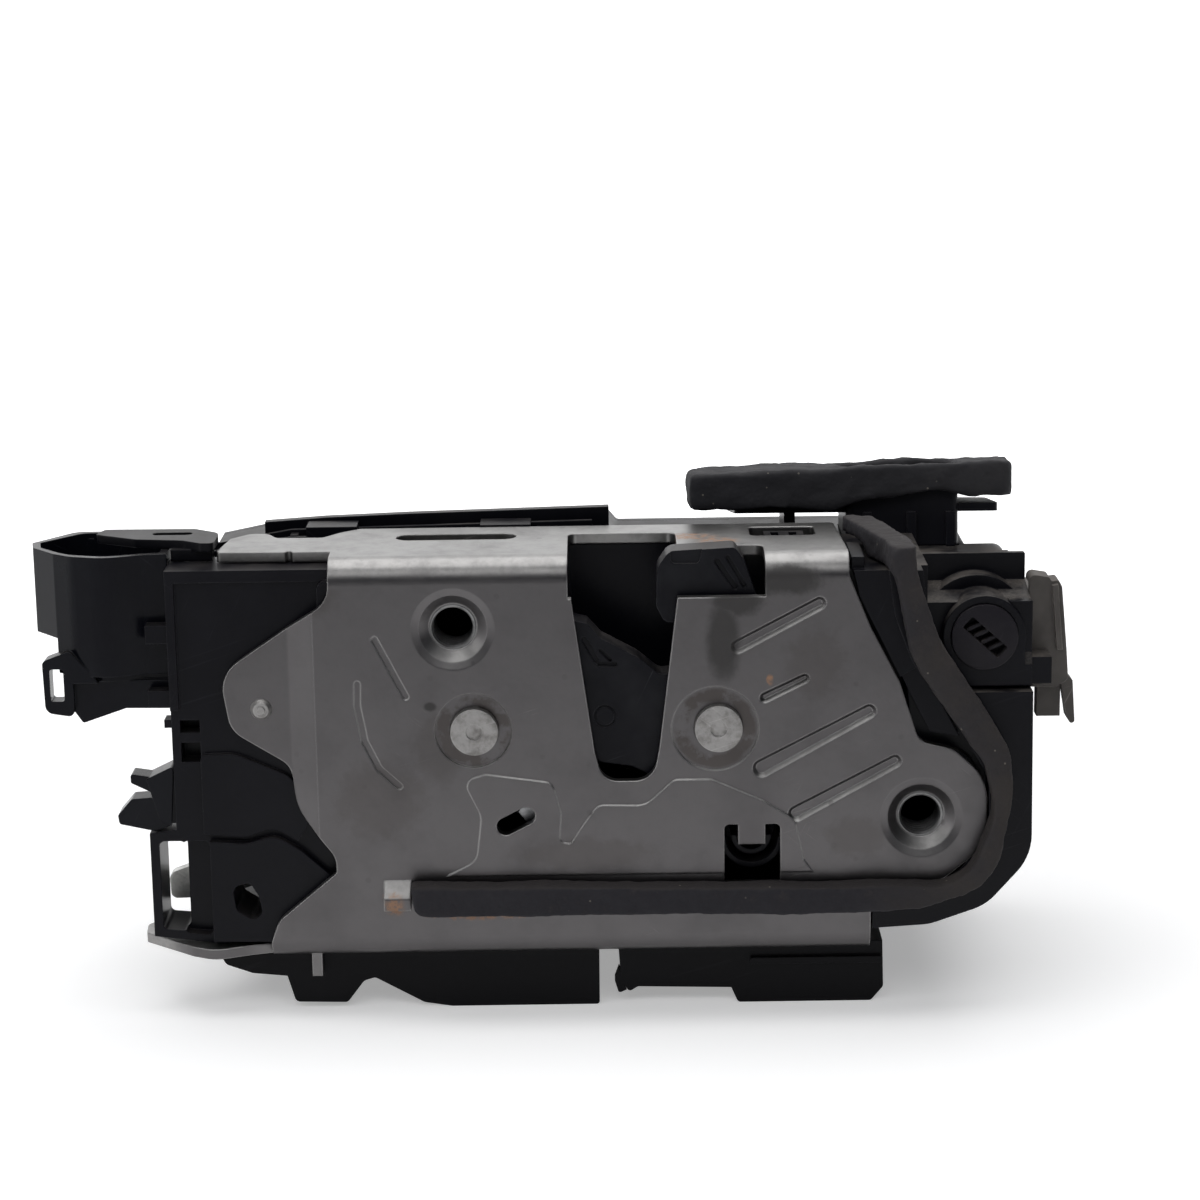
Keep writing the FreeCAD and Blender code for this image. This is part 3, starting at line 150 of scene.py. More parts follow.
def softCopy(name, source, values, shift):
    # a node's solid as a soft skin: remeshed, relaxed, then moved point by point
    piece = bpy.data.objects.new(name, nodes[source].data.copy())
    bpy.context.collection.objects.link(piece)
    remesh = piece.modifiers.new("remesh", "REMESH")
    remesh.mode, remesh.voxel_size = "VOXEL", values["voxel"] * mm
    relax = piece.modifiers.new("relax", "SMOOTH")
    relax.iterations, relax.factor = values["relax"], 0.5
    graph = bpy.context.evaluated_depsgraph_get()
    mesh = bpy.data.meshes.new_from_object(piece.evaluated_get(graph))
    piece.modifiers.clear()
    piece.data = mesh
    normals = [v.normal.copy() for v in mesh.vertices]
    for vertex, normal in zip(mesh.vertices, normals):
        vertex.co += shift(vertex.co / mm, normal) * mm
    for polygon in mesh.polygons:
        polygon.use_smooth = True
    return piece


# Node helpers


def feed(tree, socket, value):
    if isinstance(value, bpy.types.NodeSocket):
        tree.links.new(value, socket)
    elif isinstance(value, bpy.types.Node):
        tree.links.new(value.outputs[0], socket)
    else:
        socket.default_value = value


def put(tree, kind, **values):
    # small first letters are the node's settings, capitals are its sockets
    node = tree.nodes.new("ShaderNode" + kind)
    for name, value in values.items():
        if name[0].islower():
            setattr(node, name, value)
        else:
            feed(tree, node.inputs[name.replace("_", " ")], value)
    return node


def calc(tree, operation, a, b=0.0, clamp=False):
    node = put(tree, "Math", operation=operation, use_clamp=clamp)
    feed(tree, node.inputs[0], a)
    feed(tree, node.inputs[1], b)
    return node.outputs[0]


def times(tree, a, b, clamp=False):
    return calc(tree, "MULTIPLY", a, b, clamp)


def plus(tree, a, b):
    return calc(tree, "ADD", a, b)


def larger(tree, a, b):
    return calc(tree, "MAXIMUM", a, b)


def inverse(tree, value):
    return calc(tree, "SUBTRACT", 1.0, value)


def vectorCalc(tree, operation, a, b=(0, 0, 0)):
    node = put(tree, "VectorMath", operation=operation)
    feed(tree, node.inputs[0], a)
    feed(tree, node.inputs[1], b)
    return node.outputs["Value" if operation in ("DOT_PRODUCT", "LENGTH") else "Vector"]


def fade(tree, value, low, high):
    # 0 below low, 1 above high and a soft step between them
    node = put(tree, "MapRange", interpolation_type="SMOOTHSTEP",
               Value=value, From_Min=low, From_Max=high)
    return node.outputs[0]


def tint(tree, share, a, b):
    node = put(tree, "Mix", data_type="RGBA")
    feed(tree, node.inputs[0], share)
    feed(tree, node.inputs[6], a)
    feed(tree, node.inputs[7], b)
    return node.outputs[2]


def makeGroup(name, inputs, outputs):
    tree = bpy.data.node_groups.new(name, "ShaderNodeTree")
    for label, kind, value in inputs:
        socket = tree.interface.new_socket(
            name=label, in_out="INPUT", socket_type="NodeSocket" + kind)
        socket.default_value = value
    for label, kind in outputs:
        tree.interface.new_socket(name=label, in_out="OUTPUT", socket_type="NodeSocket" + kind)
    given = tree.nodes.new("NodeGroupInput").outputs
    return tree, given, tree.nodes.new("NodeGroupOutput").inputs


def useGroup(tree, group, **values):
    node = put(tree, "Group", node_tree=group)
    for name, value in values.items():
        feed(tree, node.inputs[name.capitalize()], value)
    return node.outputs


def cloud(tree, place, scale, detail, rough=0.55):
    return put(tree, "TexNoise", Vector=place, Scale=scale, Detail=detail, Roughness=rough).outputs["Fac"]


def patches(tree, place, look):
    # cloudy areas: scale, detail and roughness of the cloud, then where it starts and where it is full
    scale, detail, rough, low, high = look
    return fade(tree, cloud(tree, place, scale, detail, rough), low, high)


def objectPlace(tree):
    return put(tree, "TexCoord").outputs["Object"]


def axisOf(tree, vector, axis):
    return put(tree, "SeparateXYZ", Vector=vector).outputs[axis]


def inMetres(values):
    return [v * mm for v in values]


# Shared effects

edgeValues = {"samples": 6, "turned": (0.01, 0.2)}


def roundedEdgeGroup(values):
    # softens hard corners in the shading and marks where they are
    tree, given, out = makeGroup(
        "rounded edge", [("Radius", "Float", 0.0002)], [("Normal", "Vector"), ("Edge", "Float")])
    bevel = put(tree, "Bevel", samples=values["samples"], Radius=given["Radius"])
    flat = put(tree, "NewGeometry").outputs["Normal"]
    match = vectorCalc(tree, "DOT_PRODUCT", bevel, flat)
    feed(tree, out["Normal"], bevel)
    feed(tree, out["Edge"], fade(tree, inverse(tree, match), *values["turned"]))
    return tree


scratchValues = {
    "ways": [(18, 3.1), (64, 7.7), (141, 12.3)],  # degrees, and an offset so that no two runs match
    "stretch": (45, 45, 1900),
    "streak": (0.69, 0.74),
    "broken": (70.0, 2.0, 0.55, 0.5, 0.62),
}


def scratchGroup(values):
    # thin broken streaks that run three ways over a face that looks along Y
    tree, given, out = makeGroup(
        "scratches", [("Scale", "Float", 1.0), ("Amount", "Float", 0.5)], [("Mask", "Float")])
    place = objectPlace(tree)
    total = 0.0
    for angle, offset in values["ways"]:
        turned = put(tree, "Mapping", Vector=place, Location=(offset, offset, 0),
                     Rotation=(0, math.radians(angle), 0))
        drawn = vectorCalc(tree, "MULTIPLY", turned, values["stretch"])
        streak = fade(tree, cloud(tree, drawn, given["Scale"], 1.0), *values["streak"])
        total = plus(tree, times(tree, streak, patches(tree, turned, values["broken"])), total)
    feed(tree, out["Mask"], times(tree, total, given["Amount"], clamp=True))
    return tree


smudgeValues = {"cloud": (420.0, 5.0, 0.65), "border": (0.55, 1.1)}


def smudgeGroup(values):
    # a ragged patch round one place
    tree, given, out = makeGroup("smudge", [
        ("Centre", "Vector", (0, 0, 0)),
        ("Size", "Vector", (0.01, 0.01, 0.01)),
        ("Ragged", "Float", 0.5),
    ], [("Mask", "Float")])
    place = objectPlace(tree)
    away = vectorCalc(tree, "SUBTRACT", place, given["Centre"])
    far = vectorCalc(tree, "LENGTH", vectorCalc(tree, "DIVIDE", away, given["Size"]))
    uneven = calc(tree, "SUBTRACT", cloud(tree, place, *values["cloud"]), 0.5)
    reach = plus(tree, far, times(tree, uneven, given["Ragged"]))
    feed(tree, out["Mask"], inverse(tree, fade(tree, reach, *values["border"])))
    return tree


ringValues = {"border": (0.2, 1.0), "broken": (190.0, 5.0, 0.7, 0.4, 0.6)}


def ringGroup(values):
    # a broken ring round one place on a face that looks along Y
    tree, given, out = makeGroup("dark ring", [
        ("Centre", "Vector", (0, 0, 0)),
        ("Radius", "Float", 0.006),
        ("Width", "Float", 0.001),
    ], [("Mask", "Float")])
    place = objectPlace(tree)
    away = vectorCalc(tree, "SUBTRACT", place, given["Centre"])
    far = vectorCalc(tree, "LENGTH", vectorCalc(tree, "MULTIPLY", away, (1, 0, 1)))
    off = calc(tree, "ABSOLUTE", calc(tree, "SUBTRACT", far, given["Radius"]))
    band = inverse(tree, fade(tree, calc(tree, "DIVIDE", off, given["Width"]), *values["border"]))
    feed(tree, out["Mask"], times(tree, band, patches(tree, place, values["broken"])))
    return tree


dustValues = {
    "slope": (0.1, 0.95),
    "patch": (4.0, 0.6, 0.3, 0.75),
    "fine": (2600.0, 2.0, 0.55, 0.35, 0.65),
    "fineShare": 0.5,
}


def dustGroup(values):
    # dust that lies on what faces up, thicker in some places
    tree, given, out = makeGroup(
        "settled dust", [("Amount", "Float", 0.5), ("Scale", "Float", 90.0)], [("Mask", "Float")])
    place = objectPlace(tree)
    up = fade(tree, axisOf(tree, put(tree, "NewGeometry").outputs["Normal"], "Z"), *values["slope"])
    patch = patches(tree, place, (given["Scale"],) + values["patch"])
    fine = times(tree, patches(tree, place, values["fine"]), values["fineShare"])
    mask = times(tree, times(tree, up, patch), plus(tree, fine, 1 - values["fineShare"]))
    feed(tree, out["Mask"], times(tree, mask, given["Amount"], clamp=True))
    return tree


grainValues = {"cellShare": 0.5, "detail": 2.0, "tone": (55.0, 4.0, 0.6)}


def grainGroup(values):
    # fine surface texture with a slow change of tone over it
    tree, given, out = makeGroup(
        "surface grain", [("Scale", "Float", 1500.0)], [("Height", "Float"), ("Tone", "Float")])
    place = objectPlace(tree)
    cells = put(tree, "TexVoronoi", Vector=place, Scale=given["Scale"]).outputs["Distance"]
    fine = cloud(tree, place, given["Scale"], values["detail"])
    cellPart = times(tree, cells, values["cellShare"])
    feed(tree, out["Height"], plus(tree, cellPart, times(tree, fine, 1 - values["cellShare"])))
    feed(tree, out["Tone"], cloud(tree, place, *values["tone"]))
    return tree


speckValues = {"border": (0.6, 1.0), "picked": (0.72, 0.9)}


def speckGroup(values):
    # scattered dots of uneven size
    tree, given, out = makeGroup(
        "specks", [("Scale", "Float", 300.0), ("Reach", "Float", 0.2)], [("Mask", "Float")])
    cells = put(tree, "TexVoronoi", Vector=objectPlace(tree), Scale=given["Scale"])
    picked = fade(tree, axisOf(tree, cells.outputs["Color"], "X"), *values["picked"])
    off = calc(tree, "DIVIDE", cells.outputs["Distance"], given["Reach"])
    near = inverse(tree, fade(tree, off, *values["border"]))
    feed(tree, out["Mask"], times(tree, near, picked))
    return tree


roundedEdge = roundedEdgeGroup(edgeValues)
scratches = scratchGroup(scratchValues)
smudge = smudgeGroup(smudgeValues)
darkRing = ringGroup(ringValues)
settledDust = dustGroup(dustValues)
surfaceGrain = grainGroup(grainValues)
specks = speckGroup(speckValues)
print("shared effects built")

# Finishes


def newFinish(name):
    material = bpy.data.materials.new(name)
    material.use_nodes = True
    tree = material.node_tree
    return material, tree, tree.nodes["Principled BSDF"].inputs


def reliefOf(tree, normal, height, depth):
    return put(tree, "Bump", Strength=1.0, Distance=depth * mm, Height=height, Normal=normal).outputs[0]


def brighter(colour, factor, lift=0.0):
    return [v * factor + lift for v in colour[:3]] + [1]


def smudgesOf(tree, marks):
    # the strongest of several smudges: centre and size in mm, then how ragged it is
    total = 0.0
    for centre, size, ragged in marks:
        mask = useGroup(tree, smudge, centre=inMetres(centre), size=inMetres(size), ragged=ragged)["Mask"]
        total = larger(tree, total, mask)
    return total


plateValues = {
    "frontColour": (0.115, 0.11, 0.112, 1),
    "paintedHighlightColour": (0.27, 0.266, 0.26, 1),
    "darkColour": (0.1, 0.095, 0.097, 1),
    "edgeColour": (0.5, 0.495, 0.485, 1),
    "greaseColour": (0.022, 0.02, 0.019, 1),
    "rustColour": (0.3, 0.16, 0.085, 1),
    "dullColour": (0.062, 0.054, 0.05, 1),
    "cornerRadius": 0.45,
    "grainScale": 900.0,
    "paintedHighlightDepth": (0.0, 0.006),  # metres behind the face
    "paintedHighlightSlope": (0.12, 0.6),
    "blotch": (70.0, 6.0, 0.62, 0.42, 0.72),
    "blotchShare": 0.26,
    "mottle": (330.0, 5.0, 0.7, 0.4, 0.7),
    "mottleShare": 0.34,
    "scratches": {"scale": 2.2, "amount": 0.5},
    "scratched": (60.0, 3.0, 0.55, 0.55, 0.68),
    "scratchShare": 0.3,
    "scratchDepth": 1.5,
    "edgeShare": 0.55,
    "specks": {"scale": 260.0, "reach": 0.17},
    "speckShare": 0.7,
    "dullShare": 0.7,
    "smudgeShare": 0.4,
    "ringShare": 1.6,
    "rustCloud": (900.0, 5.0, 0.7, 0.35, 0.6),
    "stainShare": 0.85,
    "coverDull": 0.8,
    "rough": 0.34,
    "blotchRough": 0.12,
    "coverRough": 0.15,
    "relief": 0.02,
    "grease": [
        ((46.2, -2, -2.6), (3.3, 3, 8.2), 0.5),
        ((56.7, -2, 8), (8, 3, 3.2), 0.9),
        ((48.6, -2, 4.6), (5, 3, 3.4), 0.8),
        ((-4.2, -2, -13.6), (1.3, 2, 0.9), 0.8),
    ],
    "rings": [((3.1, -2, -18), 5.2, 1.9), ((44.7, -2, -18.2), 5.9, 1.7)],
    "dull": [
        ((-13.3, -2, -30.2), (9, 4, 8), 0.9),
        ((-3, -2, -21), (5, 4, 7), 0.9),
        ((22, -2, -40.5), (14, 4, 3.4), 1.1),
        ((62, -2, -7), (6, 4, 7), 1.0),
        ((-24, -2, 6), (5, 4, 4), 1.0),
        ((69, -2, -38), (6, 4, 4), 1.0),
    ],
    "rust": [
        ((41.5, 14.6, 12.1), (5, 2.8, 4), 1.2),
        ((45.6, 11, 12.1), (4.4, 2.8, 4), 1.2),
        ((4, -2, -51), (9, 3, 1.4), 1.4),
        ((-11.2, -3, -49), (2.2, 4, 2.6), 1.2),
        ((54.1, -2, -9.7), (0.7, 2, 1.1), 1.0),
    ],
}


def platedSheetFinish(values):
    # satin zinc on sheet: the lighter colour on the flanges behind the face and on slopes that look up is a
    # painted highlight, with grease and rust in places
    material, tree, out = newFinish("plated sheet")
    place = objectPlace(tree)
    edge = useGroup(tree, roundedEdge, radius=values["cornerRadius"] * mm)
    grain = useGroup(tree, surfaceGrain, scale=values["grainScale"])
    # painted highlight: the flanges behind the face and slopes that look up take the lighter colour, and
    # the face keeps the darker one
    inward = fade(tree, axisOf(tree, place, "Y"), *values["paintedHighlightDepth"])
    upward = fade(tree, axisOf(tree, edge["Normal"], "Z"), *values["paintedHighlightSlope"])
    colour = tint(tree, larger(tree, inward, upward), values["frontColour"], values["paintedHighlightColour"])
    blotch = patches(tree, place, values["blotch"])
    colour = tint(tree, times(tree, blotch, values["blotchShare"]), colour, values["darkColour"])
    mottle = patches(tree, place, values["mottle"])
    colour = tint(tree, times(tree, mottle, values["mottleShare"]), colour, values["darkColour"])
    lines = useGroup(tree, scratches, **values["scratches"])["Mask"]
    lines = times(tree, lines, patches(tree, place, values["scratched"]))
    edgeWear = times(tree, edge["Edge"], values["edgeShare"])
    worn = larger(tree, edgeWear, times(tree, lines, values["scratchShare"]))
    colour = tint(tree, worn, colour, values["edgeColour"])
    dots = useGroup(tree, specks, **values["specks"])["Mask"]
    colour = tint(tree, times(tree, dots, values["speckShare"]), colour, values["darkColour"])
    dull = times(tree, smudgesOf(tree, values["dull"]), values["smudgeShare"])
    # darker rings round the two rivets
    for centre, radius, width in values["rings"]:
        ring = useGroup(tree, darkRing, centre=inMetres(centre), radius=radius * mm, width=width * mm)
        dull = larger(tree, dull, times(tree, ring["Mask"], values["ringShare"], clamp=True))
    colour = tint(tree, times(tree, dull, values["dullShare"]), colour, values["dullColour"])
    rustPatch = patches(tree, place, values["rustCloud"])
    rust = times(tree, smudgesOf(tree, values["rust"]), rustPatch)
    colour = tint(tree, times(tree, rust, values["stainShare"]), colour, values["rustColour"])
    grease = smudgesOf(tree, values["grease"])
    colour = tint(tree, times(tree, grease, values["stainShare"]), colour, values["greaseColour"])
    cover = larger(tree, rust, grease)
    feed(tree, out["Base Color"], colour)
    feed(tree, out["Metallic"], inverse(tree, times(tree, cover, values["coverDull"])))
    rough = plus(tree, values["rough"], times(tree, blotch, values["blotchRough"]))
    feed(tree, out["Roughness"], plus(tree, rough, times(tree, cover, values["coverRough"])))
    height = calc(tree, "SUBTRACT", grain["Height"], times(tree, lines, values["scratchDepth"]))
    feed(tree, out["Normal"], reliefOf(tree, edge["Normal"], height, values["relief"]))
    return material


steelWear = {
    "cornerRadius": 0.25,
    "tarnish": (380.0, 6.0, 0.7, 0.4, 0.68),
    "tarnishShare": 0.55,
    "tarnishRough": 0.16,
    "scratches": {"scale": 1.4, "amount": 0.4},
    "edgeShare": 0.5,
    "brighter": 1.35,
    "lumps": (4.0, 0.6),
    "lumpShare": 1.2,
}

steelValues = {
    "rivetSteel": {
        "colour": (0.33, 0.322, 0.315, 1), "dark": (0.14, 0.13, 0.12, 1),
        "rough": 0.46, "pits": 0.07, "scale": 520.0,
    },
    "nutSteel": {
        "colour": (0.22, 0.22, 0.22, 1), "dark": (0.08, 0.08, 0.08, 1),
        "rough": 0.38, "pits": 0.01, "scale": 900.0,
    },
    "coreSteel": {
        "colour": (0.36, 0.36, 0.37, 1), "dark": (0.12, 0.12, 0.12, 1),
        "rough": 0.3, "pits": 0.006, "scale": 1400.0,
    },
    "leverSteel": {
        "colour": (0.5, 0.5, 0.48, 1), "dark": (0.2, 0.2, 0.19, 1),
        "rough": 0.36, "pits": 0.008, "scale": 900.0,
    },
    "backSheet": {
        "colour": (0.46, 0.46, 0.44, 1), "dark": (0.2, 0.2, 0.19, 1),
        "rough": 0.38, "pits": 0.01, "scale": 900.0,
    },
    "springSteel": {
        "colour": (0.55, 0.55, 0.52, 1), "dark": (0.25, 0.25, 0.24, 1),
        "rough": 0.28, "pits": 0.002, "scale": 2200.0,
    },
    "screwSteel": {
        "colour": (0.52, 0.51, 0.47, 1), "dark": (0.2, 0.2, 0.18, 1),
        "rough": 0.32, "pits": 0.004, "scale": 1500.0,
    },
    "motorCan": {
        "colour": (0.58, 0.58, 0.57, 1), "dark": (0.3, 0.3, 0.3, 1),
        "rough": 0.27, "pits": 0.003, "scale": 1300.0,
    },
    "wormSteel": {
        "colour": (0.56, 0.56, 0.57, 1), "dark": (0.25, 0.25, 0.25, 1),
        "rough": 0.22, "pits": 0.002, "scale": 1800.0,
    },
    "tinnedBrass": {
        "colour": (0.62, 0.55, 0.4, 1), "dark": (0.3, 0.25, 0.16, 1),
        "rough": 0.3, "pits": 0.002, "scale": 1500.0,
    },
    "magnetGrey": {
        "colour": (0.2, 0.2, 0.21, 1), "dark": (0.08, 0.08, 0.08, 1),
        "rough": 0.5, "pits": 0.01, "scale": 1200.0,
    },
}


def steelFinish(name, values, wear):
    # plain metal with tarnish in patches, brighter edges and a fine tooth
    material, tree, out = newFinish(name)
    place = objectPlace(tree)
    edge = useGroup(tree, roundedEdge, radius=wear["cornerRadius"] * mm)
    grain = useGroup(tree, surfaceGrain, scale=values["scale"])
    tarnish = patches(tree, place, wear["tarnish"])
    lines = useGroup(tree, scratches, **wear["scratches"])["Mask"]
    colour = tint(tree, times(tree, tarnish, wear["tarnishShare"]), values["colour"], values["dark"])
    worn = larger(tree, times(tree, edge["Edge"], wear["edgeShare"]), lines)
    colour = tint(tree, worn, colour, brighter(values["colour"], wear["brighter"]))
    feed(tree, out["Base Color"], colour)
    out["Metallic"].default_value = 1.0
    feed(tree, out["Roughness"], plus(tree, values["rough"], times(tree, tarnish, wear["tarnishRough"])))
    lumps = times(tree, cloud(tree, place, values["scale"], *wear["lumps"]), wear["lumpShare"])
    height = plus(tree, grain["Height"], lumps)
    feed(tree, out["Normal"], reliefOf(tree, edge["Normal"], height, values["pits"]))
    return material


plasticWear = {
    "cornerRadius": 0.3,
    "grainScale": 1700.0,
    "tone": (0.4, 0.75),
    "toneShare": 0.5,
    "toneRough": 0.14,
    "toneMiddle": 0.06,
    "rubbed": (260.0, 5.0, 0.65, 0.35, 0.7),
    "rubbedShare": 0.7,
    "rubbedFactor": 2.2,
    "rubbedLift": 0.012,
    "scratchScale": 0.8,
    "scratchShare": 0.6,
    "dustColour": (0.15, 0.135, 0.12, 1),
    "dustScale": 110.0,
    "dustRough": 0.4,
    "rightEnd": (0.068, 0.08),  # metres along X
    "specular": 0.13,
    "swell": (130.0, 2.0),
    "swellShare": 3.0,
    "relief": 0.006,
}

plasticValues = {
    "latchBlack": {
        "colour": (0.003, 0.003, 0.0052, 1), "pale": (0.008, 0.008, 0.011, 1),
        "rough": 0.3, "dust": 0.2, "scuff": 0.3, "rightDust": 0.7,
    },
    "caseBlack": {
        "colour": (0.0035, 0.0035, 0.0055, 1), "pale": (0.009, 0.009, 0.012, 1),
        "rough": 0.34, "dust": 0.3, "scuff": 0.3, "rightDust": 0.6,
    },
    "cupBlack": {
        "colour": (0.0032, 0.0034, 0.006, 1), "pale": (0.009, 0.01, 0.013, 1),
        "rough": 0.2, "dust": 0.25, "scuff": 0.25, "rightDust": 0.0,
    },
    "guardBlack": {
        "colour": (0.0012, 0.0011, 0.002, 1), "pale": (0.004, 0.004, 0.0055, 1),
        "rough": 0.42, "dust": 0.2, "scuff": 0.2, "rightDust": 0.0,
    },
    "sideBlack": {
        "colour": (0.085, 0.078, 0.073, 1), "pale": (0.2, 0.185, 0.17, 1),
        "rough": 0.5, "dust": 0.75, "scuff": 0.35, "rightDust": 0.0,
    },
    "rotorBlack": {
        "colour": (0.012, 0.0105, 0.0145, 1), "pale": (0.03, 0.028, 0.03, 1),
        "rough": 0.38, "dust": 0.4, "scuff": 0.35, "rightDust": 0.0,
    },
    "catchGrey": {
        "colour": (0.0026, 0.0026, 0.005, 1), "pale": (0.022, 0.023, 0.026, 1),
        "rough": 0.3, "dust": 0.35, "scuff": 0.6, "rightDust": 0.0,
    },
    "socketBlack": {
        "colour": (0.008, 0.008, 0.011, 1), "pale": (0.02, 0.02, 0.024, 1),
        "rough": 0.36, "dust": 0.35, "scuff": 0.3, "rightDust": 0.0,
    },
    "sensorBlack": {
        "colour": (0.012, 0.012, 0.013, 1), "pale": (0.03, 0.03, 0.03, 1),
        "rough": 0.4, "dust": 0.1, "scuff": 0.1, "rightDust": 0.0,
    },
    "gearAcetal": {
        "colour": (0.56, 0.53, 0.46, 1), "pale": (0.66, 0.63, 0.57, 1),
        "rough": 0.34, "dust": 0.0, "scuff": 0.1, "rightDust": 0.0,
    },
}


def mouldedFinish(name, values, wear):
    # moulded plastic: faint grain, pale rubbed corners, scuffs and settled dust
    material, tree, out = newFinish(name)
    place = objectPlace(tree)
    edge = useGroup(tree, roundedEdge, radius=wear["cornerRadius"] * mm)
    grain = useGroup(tree, surfaceGrain, scale=wear["grainScale"])
    tone = times(tree, fade(tree, grain["Tone"], *wear["tone"]), wear["toneShare"])
    colour = tint(tree, tone, values["colour"], values["pale"])
    rubbed = times(tree, edge["Edge"], patches(tree, place, wear["rubbed"]))
    lines = useGroup(tree, scratches, scale=wear["scratchScale"], amount=values["scuff"])["Mask"]
    rubbedPart = times(tree, rubbed, wear["rubbedShare"])
    worn = larger(tree, rubbedPart, times(tree, lines, wear["scratchShare"]))
    wornColour = brighter(values["pale"], wear["rubbedFactor"], wear["rubbedLift"])
    colour = tint(tree, worn, colour, wornColour)
    right = fade(tree, axisOf(tree, place, "X"), *wear["rightEnd"])
    amount = plus(tree, times(tree, right, values["rightDust"]), values["dust"])
    dust = useGroup(tree, settledDust, amount=amount, scale=wear["dustScale"])["Mask"]
    colour = tint(tree, dust, colour, wear["dustColour"])
    feed(tree, out["Base Color"], colour)
    uneven = times(tree, grain["Tone"], wear["toneRough"])
    rough = plus(tree, values["rough"] - wear["toneMiddle"], uneven)
    feed(tree, out["Roughness"], plus(tree, rough, times(tree, dust, wear["dustRough"])))
    out["Specular IOR Level"].default_value = wear["specular"]
    swell = times(tree, cloud(tree, place, *wear["swell"]), wear["swellShare"])
    height = plus(tree, grain["Height"], swell)
    feed(tree, out["Normal"], reliefOf(tree, edge["Normal"], height, wear["relief"]))
    return material


foamWear = {
    "lumps": (240.0, 5.0, 0.7),
    "patch": (120.0, 5.0, 0.65, 0.3, 0.7),
    "patchShare": 0.7,
    "upward": (0.2, 0.95),
    "upShare": 0.6,
    "paleFrom": (0.55, 0.8),
    "paleShare": 0.35,
    "paleFactor": 1.7,
    "grit": {"scale": 520.0, "reach": 0.12},
    "gritShare": 0.6,
    "gritColour": (0.2, 0.18, 0.15, 1),
    "rough": 0.62,
    "lumpRough": 0.3,
    "specular": 0.3,
    "cellHeight": 0.6,
    "lumpHeight": 1.6,
    "strength": 0.8,
    "relief": 0.1,
}

foamValues = {
    "sealFoam": {
        "colour": (0.017, 0.016, 0.02, 1), "dustAndLit": (0.036, 0.031, 0.029, 1),
        "dustyEnd": (0.066, 0.086), "cells": 1500.0,
    },
    "collarFoam": {
        "colour": (0.0125, 0.0125, 0.0155, 1), "dustAndLit": (0.03, 0.029, 0.031, 1),
        "dustyEnd": (0.04, 0.12), "cells": 1300.0,
    },
}


def foamFinish(name, values, wear):
    # closed-cell foam: fine pores, pale specks of grit, more dust towards the right and a painted highlight
    # on faces that look up
    material, tree, out = newFinish(name)
    place = objectPlace(tree)
    cells = put(tree, "TexVoronoi", Vector=place, Scale=values["cells"]).outputs["Distance"]
    lumps = cloud(tree, place, *wear["lumps"])
    right = fade(tree, axisOf(tree, place, "X"), *values["dustyEnd"])
    patch = times(tree, patches(tree, place, wear["patch"]), wear["patchShare"])
    dustAndTopHighlight = times(tree, right, plus(tree, patch, 1 - wear["patchShare"]))
    # painted highlight: faces that look up take the paler colour as if lit from above, added to the real
    # dust towards the right
    up = fade(tree, axisOf(tree, put(tree, "NewGeometry").outputs["Normal"], "Z"), *wear["upward"])
    dustAndTopHighlight = larger(tree, dustAndTopHighlight, times(tree, up, wear["upShare"]))
    colour = tint(tree, dustAndTopHighlight, values["colour"], values["dustAndLit"])
    pale = times(tree, fade(tree, lumps, *wear["paleFrom"]), wear["paleShare"])
    colour = tint(tree, pale, colour, brighter(values["dustAndLit"], wear["paleFactor"]))
    dots = useGroup(tree, specks, **wear["grit"])["Mask"]
    colour = tint(tree, times(tree, dots, wear["gritShare"]), colour, wear["gritColour"])
    feed(tree, out["Base Color"], colour)
    feed(tree, out["Roughness"], plus(tree, wear["rough"], times(tree, lumps, wear["lumpRough"])))
    out["Specular IOR Level"].default_value = wear["specular"]
    cellPart = times(tree, cells, wear["cellHeight"])
    height = plus(tree, cellPart, times(tree, lumps, wear["lumpHeight"]))
    bump = put(tree, "Bump", Strength=wear["strength"], Distance=wear["relief"] * mm, Height=height)
    feed(tree, out["Normal"], bump)
    return material


def dress(names, material):
    for name in names:
        for materialSlot in nodes[name].material_slots:
            materialSlot.material = material


platedSheet = platedSheetFinish(plateValues)
steel = {name: steelFinish(name, values, steelWear) for name, values in steelValues.items()}
plastic = {name: mouldedFinish(name, values, plasticWear) for name, values in plasticValues.items()}
foam = {name: foamFinish(name, values, foamWear) for name, values in foamValues.items()}
dress(["frame_plate"], platedSheet)
dress(["catch_pin", "pawl_pin", "small_rivet"], steel["rivetSteel"])
dress(["catch_core", "pawl_core"], steel["coreSteel"])
dress(["back_plate"], steel["backSheet"])
dress(["outside_lever", "inside_lever", "lever_stud", "lever_bush"], steel["leverSteel"])
dress(["lock_motor"], steel["motorCan"])
dress(["worm_shaft"], steel["wormSteel"])
dress(["connector_pins", "contact_strips"], steel["tinnedBrass"])
dress(["catch_magnet"], steel["magnetGrey"])
dress(["latch_housing"], plastic["latchBlack"])
dress(["actuator_case", "actuator_cover", "bridge_cover"], plastic["caseBlack"])
dress(["cable_shroud", "cable_clip"], plastic["cupBlack"])
dress(["lower_guard_left", "lower_guard_right", "striker_bumper"], plastic["guardBlack"])
dress(["side_cover"], plastic["sideBlack"])
dress(["emergency_rotor"], plastic["rotorBlack"])
dress(["catch_cover", "pawl_cover"], plastic["catchGrey"])
dress(["connector_shroud"], plastic["socketBlack"])
dress(["catch_sensor"], plastic["sensorBlack"])
dress(["worm_wheel", "lock_lever"], plastic["gearAcetal"])
print("finishes on the nodes")

# Foam strip round the edge

edgeSealValues = {
    "voxel": 0.55, "relax": 10, "inset": 0.12,
    "wave": 0.28, "waveScale": 0.09,
    "lumps": 0.16, "lumpScale": 0.55, "fineScale": 1.7, "fineShare": 0.4,
}


